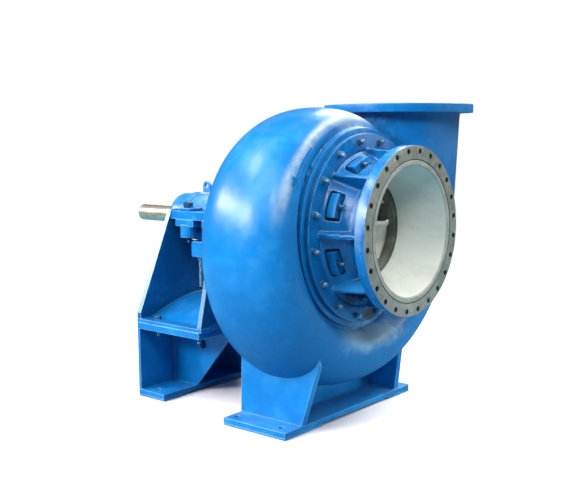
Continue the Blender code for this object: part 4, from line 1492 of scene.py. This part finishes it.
def studAndNut(base, axis, across, proud, turnDeg=0.0):
    axis = Vector(axis)
    base = Vector(base)
    sunk = 0.0008
    washer = across * 0.09
    height = across * 0.60
    shapes = [washerMesh(base - axis * sunk, axis, across * 0.64, washer + sunk),
              prismMesh(base + axis * washer, axis, across, height, turnDeg=turnDeg)]
    if proud > 0:
        thread = threadMesh(base + axis * (washer + height * 0.7), axis, across * 0.32,
                            height * 0.3 + proud)
        shapes.append((*thread, 1))    # the stud takes the piece's second finish
    return shapes


def boltCircle(count, circle, y, direction, across, proud, phaseDeg, seed):
    rng = random.Random(seed)
    shapes = []
    for k in range(count):
        base = aboutShaft(circle, 360.0 * k / count + phaseDeg, y)
        shapes += studAndNut(base, (0, direction, 0), across, proud, rng.uniform(0, 60))
    return shapes


def addFasteners(name, shapes, nutMat, studMat):
    obj = addPiece(name, *gather(shapes), [nutMat, studMat], 28.0)
    index = []
    for _, faces, *finish in shapes:
        index += [finish[0] if finish else 0] * len(faces)
    obj.data.polygons.foreach_set("material_index", index)
    ridePump(obj, "bright_steel")


def buildFasteners():
    s = boltSettings
    up, down, back, front = (0, 0, 1), (0, 0, -1), (0, 1, 0), (0, -1, 0)
    addFasteners("cover_nuts", boltCircle(*s["cover"]), nutPaint, studMetal)
    window = []
    for degrees in windowDegs:
        face = aboutShaft(linerSettings["studRadius"], degrees, linerSettings["lugY"][0])
        window += studAndNut(face, front, *s["window"])
    addFasteners("window_bolts", window, darkNut, nutPaint)
    addFasteners("rear_nuts", boltCircle(*s["backCover"]) + boltCircle(*s["seal"]), nutPaint,
                 studMetal)
    addFasteners("cap_bolts", boltCircle(*s["driveCap"]), darkNut, studMetal)
    gland = []
    for degrees in (90.0, 270.0):
        circle, y = s["glandAt"]
        gland += studAndNut(aboutShaft(circle, degrees, y), back, *s["gland"])
    addFasteners("gland_nuts", gland, nutPaint, studMetal)
    clamps = []
    beams = []
    deck = []
    washerZ, headZ, nutZ = s["clampZ"]
    for side in (-1, 1):
        x = side * s["clampX"]
        for y in clampYs:
            clamps += [washerMesh((x, y, washerZ), up, *s["clampWasher"]),
                       prismMesh((x, y, headZ), up, *s["clampHead"])]
            clamps += studAndNut((x, y, nutZ), down, *s["clamp"])
        x, y = side * s["beamAt"][0], s["beamAt"][1]
        beams += studAndNut((x, y, s["beamZ"][0]), down, *s["beam"])
        beams.append(threadMesh((x, y, s["beamZ"][1]), down, *s["beamThread"]))
        x = side * s["deckX"]
        deck += studAndNut((x, s["deckYs"][0], s["deckZ"][0]), up, *s["deckTop"])
        for y in s["deckYs"]:
            deck += studAndNut((x, y, s["deckZ"][1]), down, *s["deckUnder"])
    addFasteners("clamp_bolts", clamps, darkNut, nutPaint)
    addFasteners("beam_studs", beams, nutPaint, studMetal)
    addFasteners("deck_bolts", deck, nutPaint, studMetal)
    # painted shade: dark discs and a dark strip on the deck and frame
    holeShadeSpots = [washerMesh(place, up, *s["holeShadeSize"]) for place in s["holeShadeSpots"]]
    holeShadeSpots.append(boxMesh(*s["gapShadeBox"]))
    addFasteners("deck_hole_shade_discs", holeShadeSpots, holeShade, holeShade)


buildFasteners()
print("fasteners made")


# Weld beads

weldSettings = {
    "size": 0.0055,
    "ripple": 0.0065,
    "sides": 7,
    "seed": 11,
    "baseZ": 0.047,                  # top of both bases
    "topZ": 0.470,                   # underside of the frame's top
    "deckZ": 0.540,
    "half": 0.566,                   # half width of frame and deck
    "backY": 1.187,
    "footPlates": ((-0.507, -0.462, 0.497, 0.542), -0.170, 0.314),
    "footWeb": ((0.045, 0.075), -0.460, 0.495),
    "footWebZ": (0.050, 0.410),
    "frameWebXs": (0.233, 0.253),
    "frameWebYs": (0.967, 0.634, 1.186),    # front at the base, front at the top, back
    "frameWebZ": (0.050, 0.468),
    "arch": (0.47, 0.115, 33),       # half width, rise, points
    "bracketYs": (0.6355, 1.1715),
    "beamX": 0.250,
    "beamY": 0.6357,
    "beamZ": (0.946, 1.049),
    "railX": 0.268,
    "railZ": (1.199, 1.254),
}


def beadMesh(points, size, rng):
    points = [Vector(p) for p in points]
    lengths = [0.0]
    for a, b in zip(points, points[1:]):
        lengths.append(lengths[-1] + (b - a).length)
    count = max(3, int(lengths[-1] / weldSettings["ripple"] * 2))
    sides = weldSettings["sides"]
    verts = []
    segment = 0
    for step in range(count + 1):
        at = lengths[-1] * step / count
        while segment < len(points) - 2 and at > lengths[segment + 1]:
            segment += 1
        a, b = points[segment], points[segment + 1]
        along = (b - a).normalized()
        side = along.orthogonal().normalized()
        radius = size * ((1.08 if step % 2 else 0.90) + rng.uniform(-0.10, 0.10))
        if step in (0, count):
            radius *= 0.5
        span = max(1e-9, lengths[segment + 1] - lengths[segment])
        verts += ringVerts(a.lerp(b, (at - lengths[segment]) / span), radius, side,
                           along.cross(side), sides)
    return verts, tubeFaces(count + 1, sides)


def buildWelds():
    s = weldSettings
    rng = random.Random(s["seed"])
    base, top, deck, half, backY = s["baseZ"], s["topZ"], s["deckZ"], s["half"], s["backY"]
    plateXs, *plateYs = s["footPlates"]
    webYs, *webXs = s["footWeb"]
    lines = [[(x, y, base) for y in plateYs] for x in plateXs]
    lines += [[(x, y, z) for z in s["footWebZ"]] for x in plateXs[1:3] for y in webYs]
    lines += [[(x, y, base) for x in webXs] for y in webYs]
    lowFront, highFront, rear = s["frameWebYs"]
    for side in (-1, 1):
        for x in s["frameWebXs"]:
            x *= side
            lines.append([(x, lowFront, base), (x, rear, base)])
            lines.append([(x, backY, z) for z in s["frameWebZ"]])
            lines.append([(x, highFront, top), (x, rear, top)])
    lines += [[(-half, backY, z), (half, backY, z)] for z in (top, base)]
    reach, rise, count = s["arch"]
    arch = [(x, deck + rise * math.cos(math.pi * x / (2 * reach)))
            for x in np.linspace(-reach, reach, count)]
    for y in s["bracketYs"]:
        lines.append([(-half, y, deck)] + [(x, y, z) for x, z in arch] + [(half, y, deck)])
    for side in (-1, 1):
        lines.append([(side * s["beamX"], s["beamY"], z) for z in s["beamZ"]])
        lines += [[(side * s["railX"], y, z) for z in s["railZ"]] for y in s["bracketYs"][::-1]]
    shapes = [beadMesh(line, s["size"], rng) for line in lines]
    beads = addPiece("weld_beads", *gather(shapes), [weldPaint], 60.0)
    ridePump(beads, "blue_paint")


buildWelds()
print("weld beads laid")
